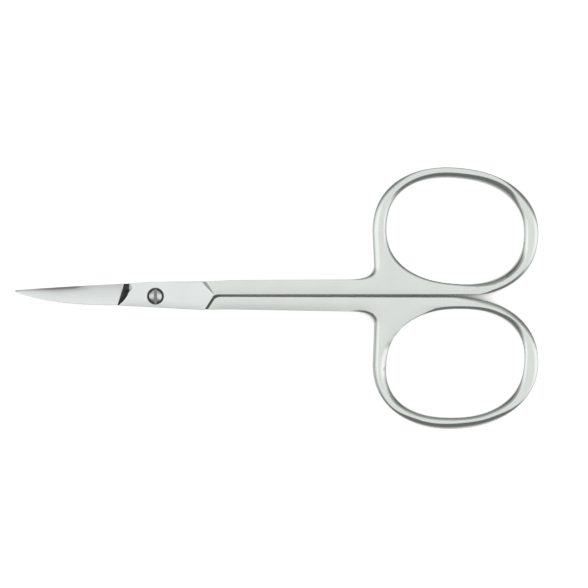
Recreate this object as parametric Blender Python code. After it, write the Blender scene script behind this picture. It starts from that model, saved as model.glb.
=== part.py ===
"""Manicure scissors, 90 mm long, lying closed on their back.

Two forged steel halves cross at one slotted screw. Each half is one piece: a blade, a flat
joint plate of half the thickness, a shank, a web and a finger ring. The front half carries
the upper ring and takes the screw's head in a recess. The rear half carries the lower ring
and holds the screw's thread.

Metres, +Z up. The origin is on the pivot's axis, in the plane that the scissors rest on. The
tips point to -X and the finger rings lie at +X. Each half is drawn in its own plan: u runs
along the scissors, v from the slit between the shanks towards the half's own ring, and w from
the joint's middle plane towards the half's own outer face. The rear half is then turned half
round about the long axis, as it is when two forgings are crossed.
"""

import math
from dataclasses import dataclass

import bmesh
import bpy
from mathutils import Matrix, Vector

# Thicknesses, and the gaps between the two halves
JOINT_THICKNESS = 0.0030
SHANK_THICKNESS = 0.0026
RING_THICKNESS = 0.0030
PLATE_GAP = 0.0003
SLIT_GAP = 0.0003
SHOULDER_GAP = 0.00045
SLIT_Y = 0.00014

# Pivot screw, the recess for its head and the holes for its shank
HEAD_DIAMETER = 0.0025
HEAD_HEIGHT = 0.0005
HEAD_DOME = 0.0002
HEAD_CLEARANCE = 0.00028
RECESS_DEPTH = 0.00085
SEAT_CLEARANCE = 0.00015
SCREW_DIAMETER = 0.0015
SCREW_CLEARANCE = 0.0001
SCREW_END_CHAMFER = 0.0001
SLOT_WIDTH = 0.0005
SLOT_DEPTH = 0.00035

# Finger rings: the opening of each, and the band of steel round it
OPENING_U = 0.05156
OPENING_LENGTH = 0.02372
FRONT_OPENING_V = 0.01108
FRONT_OPENING_WIDTH = 0.0181
FRONT_OPENING_FULLNESS = 2.3
FRONT_OPENING_TILT = 5.5
FRONT_OPENING_LEAN = 0.026
FRONT_BAND_FAR = 0.0018
FRONT_BAND_NEAR = 0.0021
FRONT_BAND_FULLNESS = 2.2
FRONT_BAND_TILT = 6.0
REAR_OPENING_V = 0.01168
REAR_OPENING_WIDTH = 0.01864
REAR_OPENING_FULLNESS = 2.3
REAR_OPENING_TILT = 0.0
REAR_OPENING_LEAN = 0.078
REAR_BAND_FAR = 0.00192
REAR_BAND_NEAR = 0.00188
REAR_BAND_FULLNESS = 2.13
REAR_BAND_TILT = 5.0
BAND_AT_JOINT_END = 0.00238
BAND_AT_FAR_END = 0.00242

# Rounded flanks along the edges, measured in plan, and where round a ring they are widest
RING_FLANK = 0.0008
WEB_FLANK = 0.00025
SHANK_FLANK = 0.0002
SLIT_FLANK = 0.00012
PLATE_FLANK = 0.00012
FLANK_DEPTH_SHARE = 0.9
FLANK_ROUNDING = 1.6
OPENING_WIDEST_TURN = 70.0
BAND_WIDEST_TURN = 60.0

# Shanks, and the webs where they meet the rings
FRONT_SHANK_WIDTH_AT_JOINT = 0.00227
FRONT_SHANK_WIDTH = 0.0025
FRONT_SHANK_WIDTH_AT_WEB = 0.00259
REAR_SHANK_WIDTH_AT_JOINT = 0.00223
REAR_SHANK_WIDTH = 0.0022
REAR_SHANK_WIDTH_AT_WEB = 0.00256
JOINT_EDGE_U = 0.0096
SHANK_START_U = 0.0128
WEB_SIDE_LEAN = 0.00028
WEB_FILLET_ALONG = 0.0042
WEB_FILLET_ACROSS = 0.0024
RING_LEAVES_SLIT = 0.00035
THICKENING_START_U = 0.034
THICKENING_END_U = 0.044

# Joint plates: how far the edge side and the spine side stand from the slit, and the end
FRONT_PLATE_EDGE = 0.00233
FRONT_PLATE_EDGE_AT_BLADE = 0.00198
FRONT_PLATE_SPINE = 0.0025
FRONT_PLATE_SPINE_AT_BLADE = 0.0017
REAR_PLATE_EDGE = 0.0019
REAR_PLATE_EDGE_AT_BLADE = 0.0015
REAR_PLATE_SPINE = 0.0024
REAR_PLATE_SPINE_AT_BLADE = 0.00196
PLATE_EDGE_FULL_U = -0.0008
PLATE_END_U = 0.0084
PLATE_END_LEAN = 0.0016
END_FILLET_ALONG = 0.0009
END_FILLET_UP_END = 0.0006

# Raised pad on each plate's outer face
PAD_INSET = 0.00016
PAD_EDGE_INSET = 0.0003
PAD_FLANK = 0.00015
PAD_FACET_FLANK = 0.00035
PAD_BURIED = 0.0004
PAD_FACET_U = 0.0082
PAD_APEX_V = 0.0003

# Blades, and the ground ramp between each blade and its plate
BLADE_LENGTH = 0.0241
BLADE_ROOT_U = -0.0056
BLADE_BURIED = 0.0022
BLADE_BURIED_INSET = 0.0004
BLADE_RELIEF = 0.00002
BLADE_THICKNESS = 0.0008
TIP_THICKNESS = 0.0004
TIP_WIDTH = 0.0004
FRONT_TIP_V = 0.0007
FRONT_BLADE_EDGE = 0.00196
FRONT_BLADE_SPINE = 0.00166
FRONT_SPINE_FULLNESS = 2.8
BLADE_EDGE_FULLNESS = 1.25
REAR_TIP_V = -0.0007
REAR_BLADE_EDGE = 0.00144
REAR_BLADE_SPINE = 0.0019
REAR_SPINE_FULLNESS = 1.2
RAMP_FOOT_EDGE_U = -0.0057
RAMP_FOOT_SPINE_U = -0.0069
RAMP_HEAD_EDGE_U = -0.0042
RAMP_HEAD_SPINE_U = -0.0064
RAMP_BULGE = 0.0005
RAMP_FOOT_HEIGHT = 0.00065

# Overrun of every cutter past the steel, and how finely curves are divided
OVERRUN = 0.001
RING_STEPS = 56
FLANK_STEPS = 3
BLEND_STEPS = 6
BLADE_STEPS = 14
RAMP_STEPS = 8
ROUND_STEPS = 48
SHARP_ANGLE = 22.0

# Blade section from the edge to the spine: shares of the local width and of the thickness
BLADE_SECTION_SHARES = (
    (0.0, 0.0),
    (0.0, 0.16),
    (0.09, 0.42),
    (0.45, 0.84),
    (0.92, 1.0),
    (1.0, 0.86),
    (1.0, 0.0),
)

HALF_STEEL = (0.80, 0.83, 0.81, 1.0)
SCREW_STEEL = (0.72, 0.73, 0.73, 1.0)


@dataclass(frozen=True)
class Rim:
    """A point of an outline in plan, with the width of the rounded flank along it."""

    u: float
    v: float
    flank: float


@dataclass(frozen=True)
class Ring:
    """A finger ring: its opening, and the band's width on the far side and beside the slit.

    Both openings are as long and as far along as each other, so that the rings end flush.
    """

    v: float
    width: float
    fullness: float
    tilt: float
    lean: float
    band_far: float
    band_near: float
    band_fullness: float
    band_tilt: float


@dataclass(frozen=True)
class Half:
    """The sizes in which the two halves differ."""

    name: str
    pivot_v: float
    ring: Ring
    width_at_joint: float
    width: float
    width_at_web: float
    plate_edge: float
    plate_edge_at_blade: float
    plate_spine: float
    plate_spine_at_blade: float
    facing_plate_spine: float
    tip_v: float
    blade_edge: float
    blade_spine: float
    spine_fullness: float
    head_recess: bool
    to_world: Matrix


def clear_scene():
    """Remove every object, so that the model is alone in the file."""
    for obj in list(bpy.data.objects):
        bpy.data.objects.remove(obj, do_unlink=True)


def steel(name, colour, roughness):
    """A plain metal material."""
    material = bpy.data.materials.new(name)
    material.use_nodes = True
    shader = material.node_tree.nodes["Principled BSDF"]
    shader.inputs["Base Color"].default_value = colour
    shader.inputs["Metallic"].default_value = 1.0
    shader.inputs["Roughness"].default_value = roughness
    return material


def add_object(name, bm, to_world, material=None):
    """Turn a bmesh drawn in a half's plan into an object whose origin is on the pivot."""
    bmesh.ops.triangulate(bm, faces=bm.faces)
    bmesh.ops.recalc_face_normals(bm, faces=bm.faces)
    bmesh.ops.transform(bm, matrix=to_world, verts=bm.verts)
    mesh = bpy.data.meshes.new(name)
    bm.to_mesh(mesh)
    bm.free()
    obj = bpy.data.objects.new(name, mesh)
    bpy.context.scene.collection.objects.link(obj)
    if material:
        mesh.materials.append(material)
    mesh.shade_smooth()
    mesh.set_sharp_from_angle(angle=math.radians(SHARP_ANGLE))
    return obj


def combine(obj, other, operation):
    """Join a helper object to obj, or cut it away, and keep the helper out of the model."""
    modifier = obj.modifiers.new(other.name, "BOOLEAN")
    modifier.operation = operation
    modifier.solver = "EXACT"
    modifier.object = other
    other.hide_render = True
    other.display_type = "WIRE"


def weigh_normals(obj):
    """Let the large flat faces keep the shading flat beside the small rounded ones."""
    modifier = obj.modifiers.new("face_weights", "WEIGHTED_NORMAL")
    modifier.keep_sharp = True


def smooth_share(value):
    """0 to 1 eased at both ends, from a value held between 0 and 1."""
    held = min(max(value, 0.0), 1.0)
    return held * held * (3 - 2 * held)


def superellipse(centre, length, width, fullness, tilt, lean, turn):
    """The point at a turn in degrees of a superellipse.

    Its far end dips by the tilt in degrees, and its upright axis leans back by the lean, a slope.
    """
    along = math.cos(math.radians(turn))
    across = math.sin(math.radians(turn))
    power = 2 / fullness
    point = Vector(
        (
            math.copysign(abs(along) ** power, along) * length / 2,
            math.copysign(abs(across) ** power, across) * width / 2,
        )
    )
    point.x -= lean * point.y
    return Vector(centre) + Matrix.Rotation(math.radians(-tilt), 2) @ point


def blend(start, corner, end, flank_start, flank_end):
    """Rims along a smooth curve that leaves start and reaches end as if through the corner."""
    rims = []
    for step in range(BLEND_STEPS + 1):
        t = step / BLEND_STEPS
        point = start * (1 - t) ** 2 + corner * (2 * t * (1 - t)) + end * t**2
        rims.append(Rim(point.x, point.y, flank_start + (flank_end - flank_start) * t))
    return rims


def widest_at(turn, widest_turn, narrow, wide):
    """A flank's width at a turn round a ring."""
    share = (1 + math.cos(math.radians(turn - widest_turn))) / 2
    return narrow + (wide - narrow) * share


def opening_rims(ring):
    """The finger opening, taken clockwise so that the steel is on the left."""
    rims = []
    size = (OPENING_LENGTH, ring.width, ring.fullness, ring.tilt, ring.lean)
    for step in range(RING_STEPS):
        turn = -360 * step / RING_STEPS
        point = superellipse((OPENING_U, ring.v), *size, turn)
        flank = widest_at(turn, OPENING_WIDEST_TURN, WEB_FLANK, RING_FLANK)
        rims.append(Rim(point.x, point.y, flank))
    return rims


def band_rims(ring):
    """The band's outside, from where it leaves the slit round to its end beside the shank."""
    length = OPENING_LENGTH + BAND_AT_FAR_END + BAND_AT_JOINT_END
    width = ring.width + ring.band_far + ring.band_near
    centre = (
        OPENING_U + (BAND_AT_FAR_END - BAND_AT_JOINT_END) / 2,
        ring.v + (ring.band_far - ring.band_near) / 2,
    )
    size = (length, width, ring.band_fullness, ring.band_tilt, 0)
    turns = [-90 + 360 * step / RING_STEPS for step in range(RING_STEPS)]
    points = [superellipse(centre, *size, turn) for turn in turns]
    lowest = min(range(RING_STEPS // 2), key=lambda i: points[i].y)
    rise = max(points[lowest].y, SLIT_GAP / 2) + RING_LEAVES_SLIT
    first = next(i for i in range(lowest, RING_STEPS) if points[i].y > rise)
    last = min(range(RING_STEPS), key=lambda i: points[i].x)
    rims = [
        Rim(points[i].x, points[i].y, widest_at(turns[i], BAND_WIDEST_TURN, SLIT_FLANK, RING_FLANK))
        for i in range(first, last + 1)
    ]
    climb = (points[first + 1] - points[first]).normalized()
    reach = (points[first].y - SLIT_GAP / 2) / climb.y
    corner = points[first] - climb * reach
    start = corner - Vector((reach, 0))
    return blend(start, corner, points[first], SLIT_FLANK, rims[0].flank)[:-1] + rims


def handle_rims(half):
    """The outline that both layers share: slit, ring, web and shank, back to the joint."""
    band = band_rims(half.ring)
    edge_v = SLIT_GAP / 2 + half.width_at_web
    side_u = band[-1].u + WEB_SIDE_LEAN
    fillet = blend(
        Vector((side_u, edge_v + WEB_FILLET_ACROSS)),
        Vector((side_u, edge_v)),
        Vector((side_u - WEB_FILLET_ALONG, edge_v)),
        band[-1].flank,
        SHANK_FLANK,
    )
    return [
        Rim(slit_start_u(half), SLIT_GAP / 2, SLIT_FLANK),
        *band,
        *fillet,
        Rim(SHANK_START_U, SLIT_GAP / 2 + half.width, SHANK_FLANK),
        Rim(JOINT_EDGE_U, SLIT_GAP / 2 + half.width_at_joint, SHANK_FLANK),
    ]


def shoulder_u(half, v):
    """Where the shoulder, which faces the other half's plate end, stands at a height v."""
    spine = half.facing_plate_spine
    slant = math.hypot(PLATE_END_LEAN, spine) / spine
    return PLATE_END_U + PLATE_END_LEAN * (1 - v / spine) + SHOULDER_GAP * slant


def slit_start_u(half):
    """Where the straight part of the slit begins, past the shoulder's rounded corner."""
    return shoulder_u(half, SLIT_GAP / 2) + END_FILLET_ALONG


def shoulder_rims(half):
    """The end of the inner layer, from the shank's edge down to the slit."""
    top = SLIT_GAP / 2 + half.width_at_joint
    base = SLIT_GAP / 2
    near = base + END_FILLET_UP_END
    corner = blend(
        Vector((shoulder_u(half, near), near)),
        Vector((shoulder_u(half, base), base)),
        Vector((slit_start_u(half), base)),
        PLATE_FLANK,
        SLIT_FLANK,
    )
    return [Rim(shoulder_u(half, top), top, PLATE_FLANK), *corner[:-1]]


def plate_rims(half):
    """The outer layer's part of the outline: round the plate and up its end to the slit."""
    base = SLIT_GAP / 2
    end_u = PLATE_END_U + PLATE_END_LEAN * (1 + base / half.plate_spine)
    rise = Vector((PLATE_END_LEAN, half.plate_spine)).normalized()
    corner = Vector((end_u, base))
    fillet = blend(
        corner - rise * END_FILLET_UP_END,
        corner,
        corner + Vector((END_FILLET_ALONG, 0)),
        PLATE_FLANK,
        SLIT_FLANK,
    )
    return [
        Rim(PLATE_EDGE_FULL_U, half.plate_edge, PLATE_FLANK),
        Rim(RAMP_FOOT_EDGE_U, half.plate_edge_at_blade, PLATE_FLANK),
        Rim(RAMP_FOOT_SPINE_U, -half.plate_spine_at_blade, PLATE_FLANK),
        Rim(PLATE_END_U, -half.plate_spine, PLATE_FLANK),
        *fillet,
    ]


def pad_rims(half):
    """The raised pad, from its spine side round by the apex to its edge side."""
    apex_u = PLATE_END_U + PLATE_END_LEAN - PAD_INSET
    spine_v = PAD_INSET - half.plate_spine
    edge_v = half.plate_edge - PAD_EDGE_INSET
    return [
        Rim(RAMP_FOOT_SPINE_U, PAD_INSET - half.plate_spine_at_blade, PAD_FLANK),
        Rim(PLATE_END_U - PAD_INSET, spine_v, PAD_FLANK),
        Rim(apex_u, 0, PAD_FLANK),
        Rim(apex_u, PAD_APEX_V, PAD_FACET_FLANK),
        Rim(PAD_FACET_U, edge_v, PAD_FACET_FLANK),
        Rim(PLATE_EDGE_FULL_U, edge_v, PAD_FLANK),
        Rim(RAMP_FOOT_EDGE_U, half.plate_edge_at_blade - PAD_INSET, PAD_FLANK),
    ]


def inward(rims):
    """For each rim the direction into the steel, lengthened at corners to keep the width."""
    directions = []
    for index, rim in enumerate(rims):
        before = rims[index - 1]
        after = rims[(index + 1) % len(rims)]
        arriving = Vector((rim.u - before.u, rim.v - before.v)).normalized()
        leaving = Vector((after.u - rim.u, after.v - rim.v)).normalized()
        along = (arriving + leaving).normalized()
        directions.append(Vector((-along.y, along.x)) / max(along.dot(leaving), 0.5))
    return directions


def face_height(u):
    """Half the thickness of shank, web and ring, which swells from the shank to the ring."""
    share = (u - THICKENING_START_U) / (THICKENING_END_U - THICKENING_START_U)
    swell = (RING_THICKNESS - SHANK_THICKNESS) / 2
    return SHANK_THICKNESS / 2 + swell * smooth_share(share)


def flank_loops(bm, rims, height_at, side):
    """Vertex loops up the rounded flank, from the upright wall to the flat face."""
    loops = []
    directions = inward(rims)
    for step in range(FLANK_STEPS, -1, -1):
        share = step / FLANK_STEPS
        loop = []
        for rim, direction in zip(rims, directions):
            point = Vector((rim.u, rim.v)) + direction * rim.flank * (1 - share)
            drop = FLANK_DEPTH_SHARE * rim.flank * share**FLANK_ROUNDING
            loop.append(bm.verts.new((point.x, point.y, side * (height_at(rim.u) - drop))))
        loops.append(loop)
    return loops


def add_walls(bm, loops):
    """Faces between each loop of vertices and the next."""
    for lower, upper in zip(loops, loops[1:]):
        for i in range(len(lower)):
            j = (i + 1) % len(lower)
            bm.faces.new((lower[i], lower[j], upper[j], upper[i]))


def loop_edges(bm, loop):
    """The edges between the neighbours of a closed loop of vertices."""
    return [bm.edges.get((loop[i - 1], loop[i])) for i in range(len(loop))]


def add_cap(bm, *loops):
    """A face across an outer loop of vertices, less the loops inside it."""
    edges = [edge for loop in loops for edge in loop_edges(bm, loop)]
    bmesh.ops.triangle_fill(bm, edges=edges, use_beauty=True, normal=(0, 0, 1))


def handle_body(half):
    """Shank, web, ring and plate: two layers whose outlines differ only at the joint."""
    bm = bmesh.new()
    shared = handle_rims(half)
    outer_end = plate_rims(half)
    inner_end = shoulder_rims(half)
    inner_w = PLATE_GAP / 2
    outer_loops = flank_loops(bm, shared + outer_end, face_height, 1)
    inner_loops = flank_loops(bm, shared + inner_end, face_height, -1)
    middle = [bm.verts.new((rim.u, rim.v, inner_w)) for rim in shared]
    outer_middle = [bm.verts.new((rim.u, rim.v, inner_w)) for rim in outer_end]
    inner_middle = [bm.verts.new((rim.u, rim.v, inner_w)) for rim in inner_end]
    add_walls(bm, [middle + outer_middle, *outer_loops])
    add_walls(bm, [middle + inner_middle, *inner_loops])
    ledge = [middle[-1], *outer_middle, middle[0], *reversed(inner_middle)]
    bm.faces.new(ledge)
    opening = opening_rims(half.ring)
    outer_opening = flank_loops(bm, opening, face_height, 1)
    inner_opening = flank_loops(bm, opening, face_height, -1)
    add_walls(bm, list(reversed(inner_opening)) + outer_opening)
    add_cap(bm, outer_loops[-1], outer_opening[-1])
    add_cap(bm, inner_loops[-1], inner_opening[-1])
    return bm


def pad_body(half):
    """The raised pad, its underside buried in the plate."""
    bm = bmesh.new()
    rims = pad_rims(half)
    base_w = SHANK_THICKNESS / 2 - PAD_BURIED
    base = [bm.verts.new((rim.u, rim.v, base_w)) for rim in rims]
    loops = flank_loops(bm, rims, lambda u: JOINT_THICKNESS / 2, 1)
    add_walls(bm, [base, *loops])
    bm.faces.new(base)
    bm.faces.new(loops[-1])
    return bm


def blade_station(half, share):
    """Edge and spine of the blade in plan, and its thickness, at a share of its length."""
    top = half.tip_v + TIP_WIDTH / 2
    bottom = half.tip_v - TIP_WIDTH / 2
    edge = top + (half.blade_edge - top) * (1 - (1 - share) ** BLADE_EDGE_FULLNESS)
    fall = 1 - (1 - share) ** half.spine_fullness
    spine = bottom - (half.blade_spine + bottom) * fall
    thickness = TIP_THICKNESS + (BLADE_THICKNESS - TIP_THICKNESS) * share
    return edge, spine, thickness


def blade_body(half):
    """The blade, from its tip to its tail inside the plate."""
    bm = bmesh.new()
    root_w = PLATE_GAP / 2 + BLADE_RELIEF
    stations = []
    for step in range(BLADE_STEPS + 1):
        share = (step / BLADE_STEPS) ** 1.3
        u = -BLADE_LENGTH + (BLADE_LENGTH + BLADE_ROOT_U) * share
        stations.append((u, *blade_station(half, share)))
    u, edge, spine, thickness = stations[-1]
    tail = (u + BLADE_BURIED, edge - BLADE_BURIED_INSET, spine + BLADE_BURIED_INSET, thickness)
    loops = []
    for u, edge, spine, thickness in [*stations, tail]:
        loops.append(
            [
                bm.verts.new((u, edge + (spine - edge) * across, root_w + thickness * up))
                for across, up in BLADE_SECTION_SHARES
            ]
        )
    add_walls(bm, loops)
    bm.faces.new(loops[0])
    bm.faces.new(loops[-1])
    return bm


def ramp_cutter(half):
    """What the grinding wheel takes off: all that lies above a ramp, from blade to pad."""
    bm = bmesh.new()
    foot_w = PLATE_GAP / 2 + RAMP_FOOT_HEIGHT
    head_w = JOINT_THICKNESS / 2
    rows = []
    for step in range(RAMP_STEPS + 1):
        share = step / RAMP_STEPS
        edge_v = half.plate_edge_at_blade + OVERRUN
        spine_v = -half.plate_spine_at_blade - OVERRUN
        v = edge_v + (spine_v - edge_v) * share
        bulge = RAMP_BULGE * 4 * share * (1 - share)
        foot_u = RAMP_FOOT_EDGE_U + (RAMP_FOOT_SPINE_U - RAMP_FOOT_EDGE_U) * share
        head_u = RAMP_HEAD_EDGE_U + (RAMP_HEAD_SPINE_U - RAMP_HEAD_EDGE_U) * share + bulge
        foot = Vector((foot_u, v, foot_w))
        head = Vector((head_u, v, head_w))
        beyond = (head - foot).normalized() * OVERRUN / 2
        low = foot - beyond
        high = head + beyond
        ceiling = head_w + 2 * OVERRUN
        rows.append([low, high, Vector((high.x, v, ceiling)), Vector((low.x, v, ceiling))])
    loops = [[bm.verts.new(point) for point in row] for row in rows]
    add_walls(bm, loops)
    bm.faces.new(loops[0])
    bm.faces.new(loops[-1])
    return bm


def round_cutter(diameter, low, high, centre_v):
    """An upright cylinder in a half's plan, on the pivot's axis."""
    bm = bmesh.new()
    place = Matrix.Translation((0, centre_v, (low + high) / 2))
    bmesh.ops.create_cone(
        bm,
        cap_ends=True,
        segments=ROUND_STEPS,
        radius1=diameter / 2,
        radius2=diameter / 2,
        depth=high - low,
        matrix=place,
    )
    return bm


def add_half(half, material):
    """One half: the handle with its plate, then pad, ramp and blade, then the screw's hole."""
    obj = add_object(half.name, handle_body(half), half.to_world, material)
    pad = add_object(half.name + "_pad", pad_body(half), half.to_world)
    ramp = add_object(half.name + "_ramp_cutter", ramp_cutter(half), half.to_world)
    blade = add_object(half.name + "_blade", blade_body(half), half.to_world)
    combine(obj, pad, "UNION")
    combine(obj, ramp, "DIFFERENCE")
    combine(obj, blade, "UNION")
    outer_w = JOINT_THICKNESS / 2
    hole = round_cutter(
        SCREW_DIAMETER + 2 * SCREW_CLEARANCE, -OVERRUN, outer_w + OVERRUN, half.pivot_v
    )
    combine(obj, add_object(half.name + "_hole_cutter", hole, half.to_world), "DIFFERENCE")
    if half.head_recess:
        recess = round_cutter(
            HEAD_DIAMETER + 2 * HEAD_CLEARANCE,
            outer_w - RECESS_DEPTH,
            outer_w + OVERRUN,
            half.pivot_v,
        )
        cutter = add_object(half.name + "_recess_cutter", recess, half.to_world)
        combine(obj, cutter, "DIFFERENCE")
    weigh_normals(obj)
    return obj


def add_screw(material):
    """The screw, turned about the pivot's axis and slotted across its head."""
    seat_z = JOINT_THICKNESS - RECESS_DEPTH + SEAT_CLEARANCE
    rim_z = seat_z + HEAD_HEIGHT
    shank = SCREW_DIAMETER / 2
    head = HEAD_DIAMETER / 2
    profile = [
        (0, 0),
        (shank - SCREW_END_CHAMFER, 0),
        (shank, SCREW_END_CHAMFER),
        (shank, seat_z),
        (head, seat_z),
        (head, rim_z),
    ]
    for step in range(1, BLEND_STEPS + 1):
        share = step / BLEND_STEPS
        profile.append((head * (1 - share), rim_z + HEAD_DOME * (1 - (1 - share) ** 2)))
    bm = bmesh.new()
    verts = [bm.verts.new((radius, 0, z)) for radius, z in profile]
    edges = [bm.edges.new(pair) for pair in zip(verts, verts[1:])]
    bmesh.ops.spin(
        bm,
        geom=verts + edges,
        cent=(0, 0, 0),
        axis=(0, 0, 1),
        angle=math.tau,
        steps=ROUND_STEPS,
        use_merge=True,
    )
    bmesh.ops.remove_doubles(bm, verts=bm.verts, dist=SCREW_END_CHAMFER / ROUND_STEPS)
    screw = add_object("pivot_screw", bm, Matrix.Identity(4), material)
    slot = bmesh.new()
    floor_z = rim_z + HEAD_DOME - SLOT_DEPTH
    size = (SLOT_WIDTH, HEAD_DIAMETER + 2 * OVERRUN, 2 * OVERRUN)
    place = Matrix.Translation((0, 0, floor_z + OVERRUN)) @ Matrix.Diagonal((*size, 1))
    bmesh.ops.create_cube(slot, size=1, matrix=place)
    combine(screw, add_object("pivot_screw_slot_cutter", slot, Matrix.Identity(4)), "DIFFERENCE")
    weigh_normals(screw)
    return screw


def halves():
    """The front half and the rear half."""
    middle = Matrix.Translation((0, SLIT_Y, JOINT_THICKNESS / 2))
    front = Half(
        name="front_half",
        pivot_v=-SLIT_Y,
        ring=Ring(
            FRONT_OPENING_V,
            FRONT_OPENING_WIDTH,
            FRONT_OPENING_FULLNESS,
            FRONT_OPENING_TILT,
            FRONT_OPENING_LEAN,
            FRONT_BAND_FAR,
            FRONT_BAND_NEAR,
            FRONT_BAND_FULLNESS,
            FRONT_BAND_TILT,
        ),
        width_at_joint=FRONT_SHANK_WIDTH_AT_JOINT,
        width=FRONT_SHANK_WIDTH,
        width_at_web=FRONT_SHANK_WIDTH_AT_WEB,
        plate_edge=FRONT_PLATE_EDGE,
        plate_edge_at_blade=FRONT_PLATE_EDGE_AT_BLADE,
        plate_spine=FRONT_PLATE_SPINE,
        plate_spine_at_blade=FRONT_PLATE_SPINE_AT_BLADE,
        facing_plate_spine=REAR_PLATE_SPINE,
        tip_v=FRONT_TIP_V,
        blade_edge=FRONT_BLADE_EDGE,
        blade_spine=FRONT_BLADE_SPINE,
        spine_fullness=FRONT_SPINE_FULLNESS,
        head_recess=True,
        to_world=middle,
    )
    rear = Half(
        name="rear_half",
        pivot_v=SLIT_Y,
        ring=Ring(
            REAR_OPENING_V,
            REAR_OPENING_WIDTH,
            REAR_OPENING_FULLNESS,
            REAR_OPENING_TILT,
            REAR_OPENING_LEAN,
            REAR_BAND_FAR,
            REAR_BAND_NEAR,
            REAR_BAND_FULLNESS,
            REAR_BAND_TILT,
        ),
        width_at_joint=REAR_SHANK_WIDTH_AT_JOINT,
        width=REAR_SHANK_WIDTH,
        width_at_web=REAR_SHANK_WIDTH_AT_WEB,
        plate_edge=REAR_PLATE_EDGE,
        plate_edge_at_blade=REAR_PLATE_EDGE_AT_BLADE,
        plate_spine=REAR_PLATE_SPINE,
        plate_spine_at_blade=REAR_PLATE_SPINE_AT_BLADE,
        facing_plate_spine=FRONT_PLATE_SPINE,
        tip_v=REAR_TIP_V,
        blade_edge=REAR_BLADE_EDGE,
        blade_spine=REAR_BLADE_SPINE,
        spine_fullness=REAR_SPINE_FULLNESS,
        head_recess=False,
        to_world=middle @ Matrix.Rotation(math.pi, 4, "X"),
    )
    return front, rear


def main():
    """Build the scissors."""
    clear_scene()
    half_steel = steel("half_steel", HALF_STEEL, 0.22)
    screw_steel = steel("screw_steel", SCREW_STEEL, 0.2)
    for half in halves():
        add_half(half, half_steel)
    add_screw(screw_steel)


main()
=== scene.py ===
"""Manicure scissors: fine forgings, screw and steel finishes in a plain studio.

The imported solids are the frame. Each of them is replaced by a finer piece of the same form. The
pieces are modelled in millimetres, each half in its own plan: u runs along the scissors, v from
the slit towards the half's own ring, and w from the joint's middle plane to its outer face.
"""

import logging
import math
from collections.abc import Callable, Iterable, Sequence
from dataclasses import dataclass, field
from enum import Enum

import bmesh
import bpy
from mathutils import Matrix, Vector


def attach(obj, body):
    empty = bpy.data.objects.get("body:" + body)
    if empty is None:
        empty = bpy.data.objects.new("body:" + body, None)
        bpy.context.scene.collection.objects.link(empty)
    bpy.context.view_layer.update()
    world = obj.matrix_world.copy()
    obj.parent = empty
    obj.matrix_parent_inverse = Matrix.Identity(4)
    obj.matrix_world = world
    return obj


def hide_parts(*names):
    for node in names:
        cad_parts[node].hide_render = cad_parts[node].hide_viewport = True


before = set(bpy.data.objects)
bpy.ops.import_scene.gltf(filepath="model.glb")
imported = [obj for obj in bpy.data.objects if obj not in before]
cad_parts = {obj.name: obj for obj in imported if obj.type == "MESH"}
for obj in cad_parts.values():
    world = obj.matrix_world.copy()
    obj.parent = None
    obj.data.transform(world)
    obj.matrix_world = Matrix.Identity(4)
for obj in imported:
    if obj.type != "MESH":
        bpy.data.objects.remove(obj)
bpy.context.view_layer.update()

MM = 0.001
MICROMETRE = 1e-6
MERGE_REACH = 0.0005
ALONG, ACROSS = Vector((1, 0, 0)), Vector((0, 1, 0))
Pair = tuple[float, float]
Series = tuple[float, float, int]
log = logging.getLogger("scissors")


class Face(Enum):
    """The two faces of a half, as the sign of w."""

    OUTER = 1
    INNER = -1


class Patch(Enum):
    """The finishes of a half, as material slots of its mesh."""

    HANDLE = 0
    PAD = 1
    BLADE = 2
    RAMP = 3
    BEVEL = 4
    # Unpolished steel, darker still as painted shade in the joint's gap and the screw's recess.
    SCALE = 5


class Join(Enum):
    """What a helper body does to the body it meets."""

    ADD = "UNION"
    CUT = "DIFFERENCE"


class Part(Enum):
    """What can be selected in an edit mesh, by the name of its list there."""

    EDGES = "edges"
    FACES = "faces"


@dataclass(frozen=True)
class Rim:
    """A point of an outline in plan, with the flank that rises from it.

    Attributes:
        flank: The flank's width in plan.
        steepness: The height of the flank's ellipse, as a share of its width in plan.
    """

    u: float
    v: float
    flank: float
    steepness: float = 0.55

    def place(self) -> Vector:
        """The point in plan."""
        return Vector((self.u, self.v))

    def towards(self, other: "Rim", share: float, place: Vector | None = None) -> "Rim":
        """The rim part of the way to another.

        Args:
            other: The other rim.
            share: The part of the way, from 0 to 1.
            place: Where the rim goes in plan, if not on the line between the two.

        Returns:
            The rim.
        """
        point = self.place().lerp(other.place(), share) if place is None else place
        return Rim(
            point.x,
            point.y,
            self.flank + (other.flank - self.flank) * share,
            self.steepness + (other.steepness - self.steepness) * share,
        )


def deselect_all() -> None:
    """Leave nothing selected or active, and no object in edit mode."""
    for obj in bpy.context.selected_objects:
        obj.select_set(False)
    bpy.context.view_layer.objects.active = None


def activate(obj: bpy.types.Object) -> None:
    """Select one object alone and make it active.

    Args:
        obj: The object.
    """
    deselect_all()
    obj.select_set(True)
    bpy.context.view_layer.objects.active = obj


def spaced(start: float, step: float, count: int) -> list[float]:
    """Places at an even step."""
    return [start + step * i for i in range(count)]


def eased(value: float) -> float:
    """0 to 1 eased at both ends, from a value held between 0 and 1."""
    held = min(max(value, 0.0), 1.0)
    return held * held * (3 - 2 * held)


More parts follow.
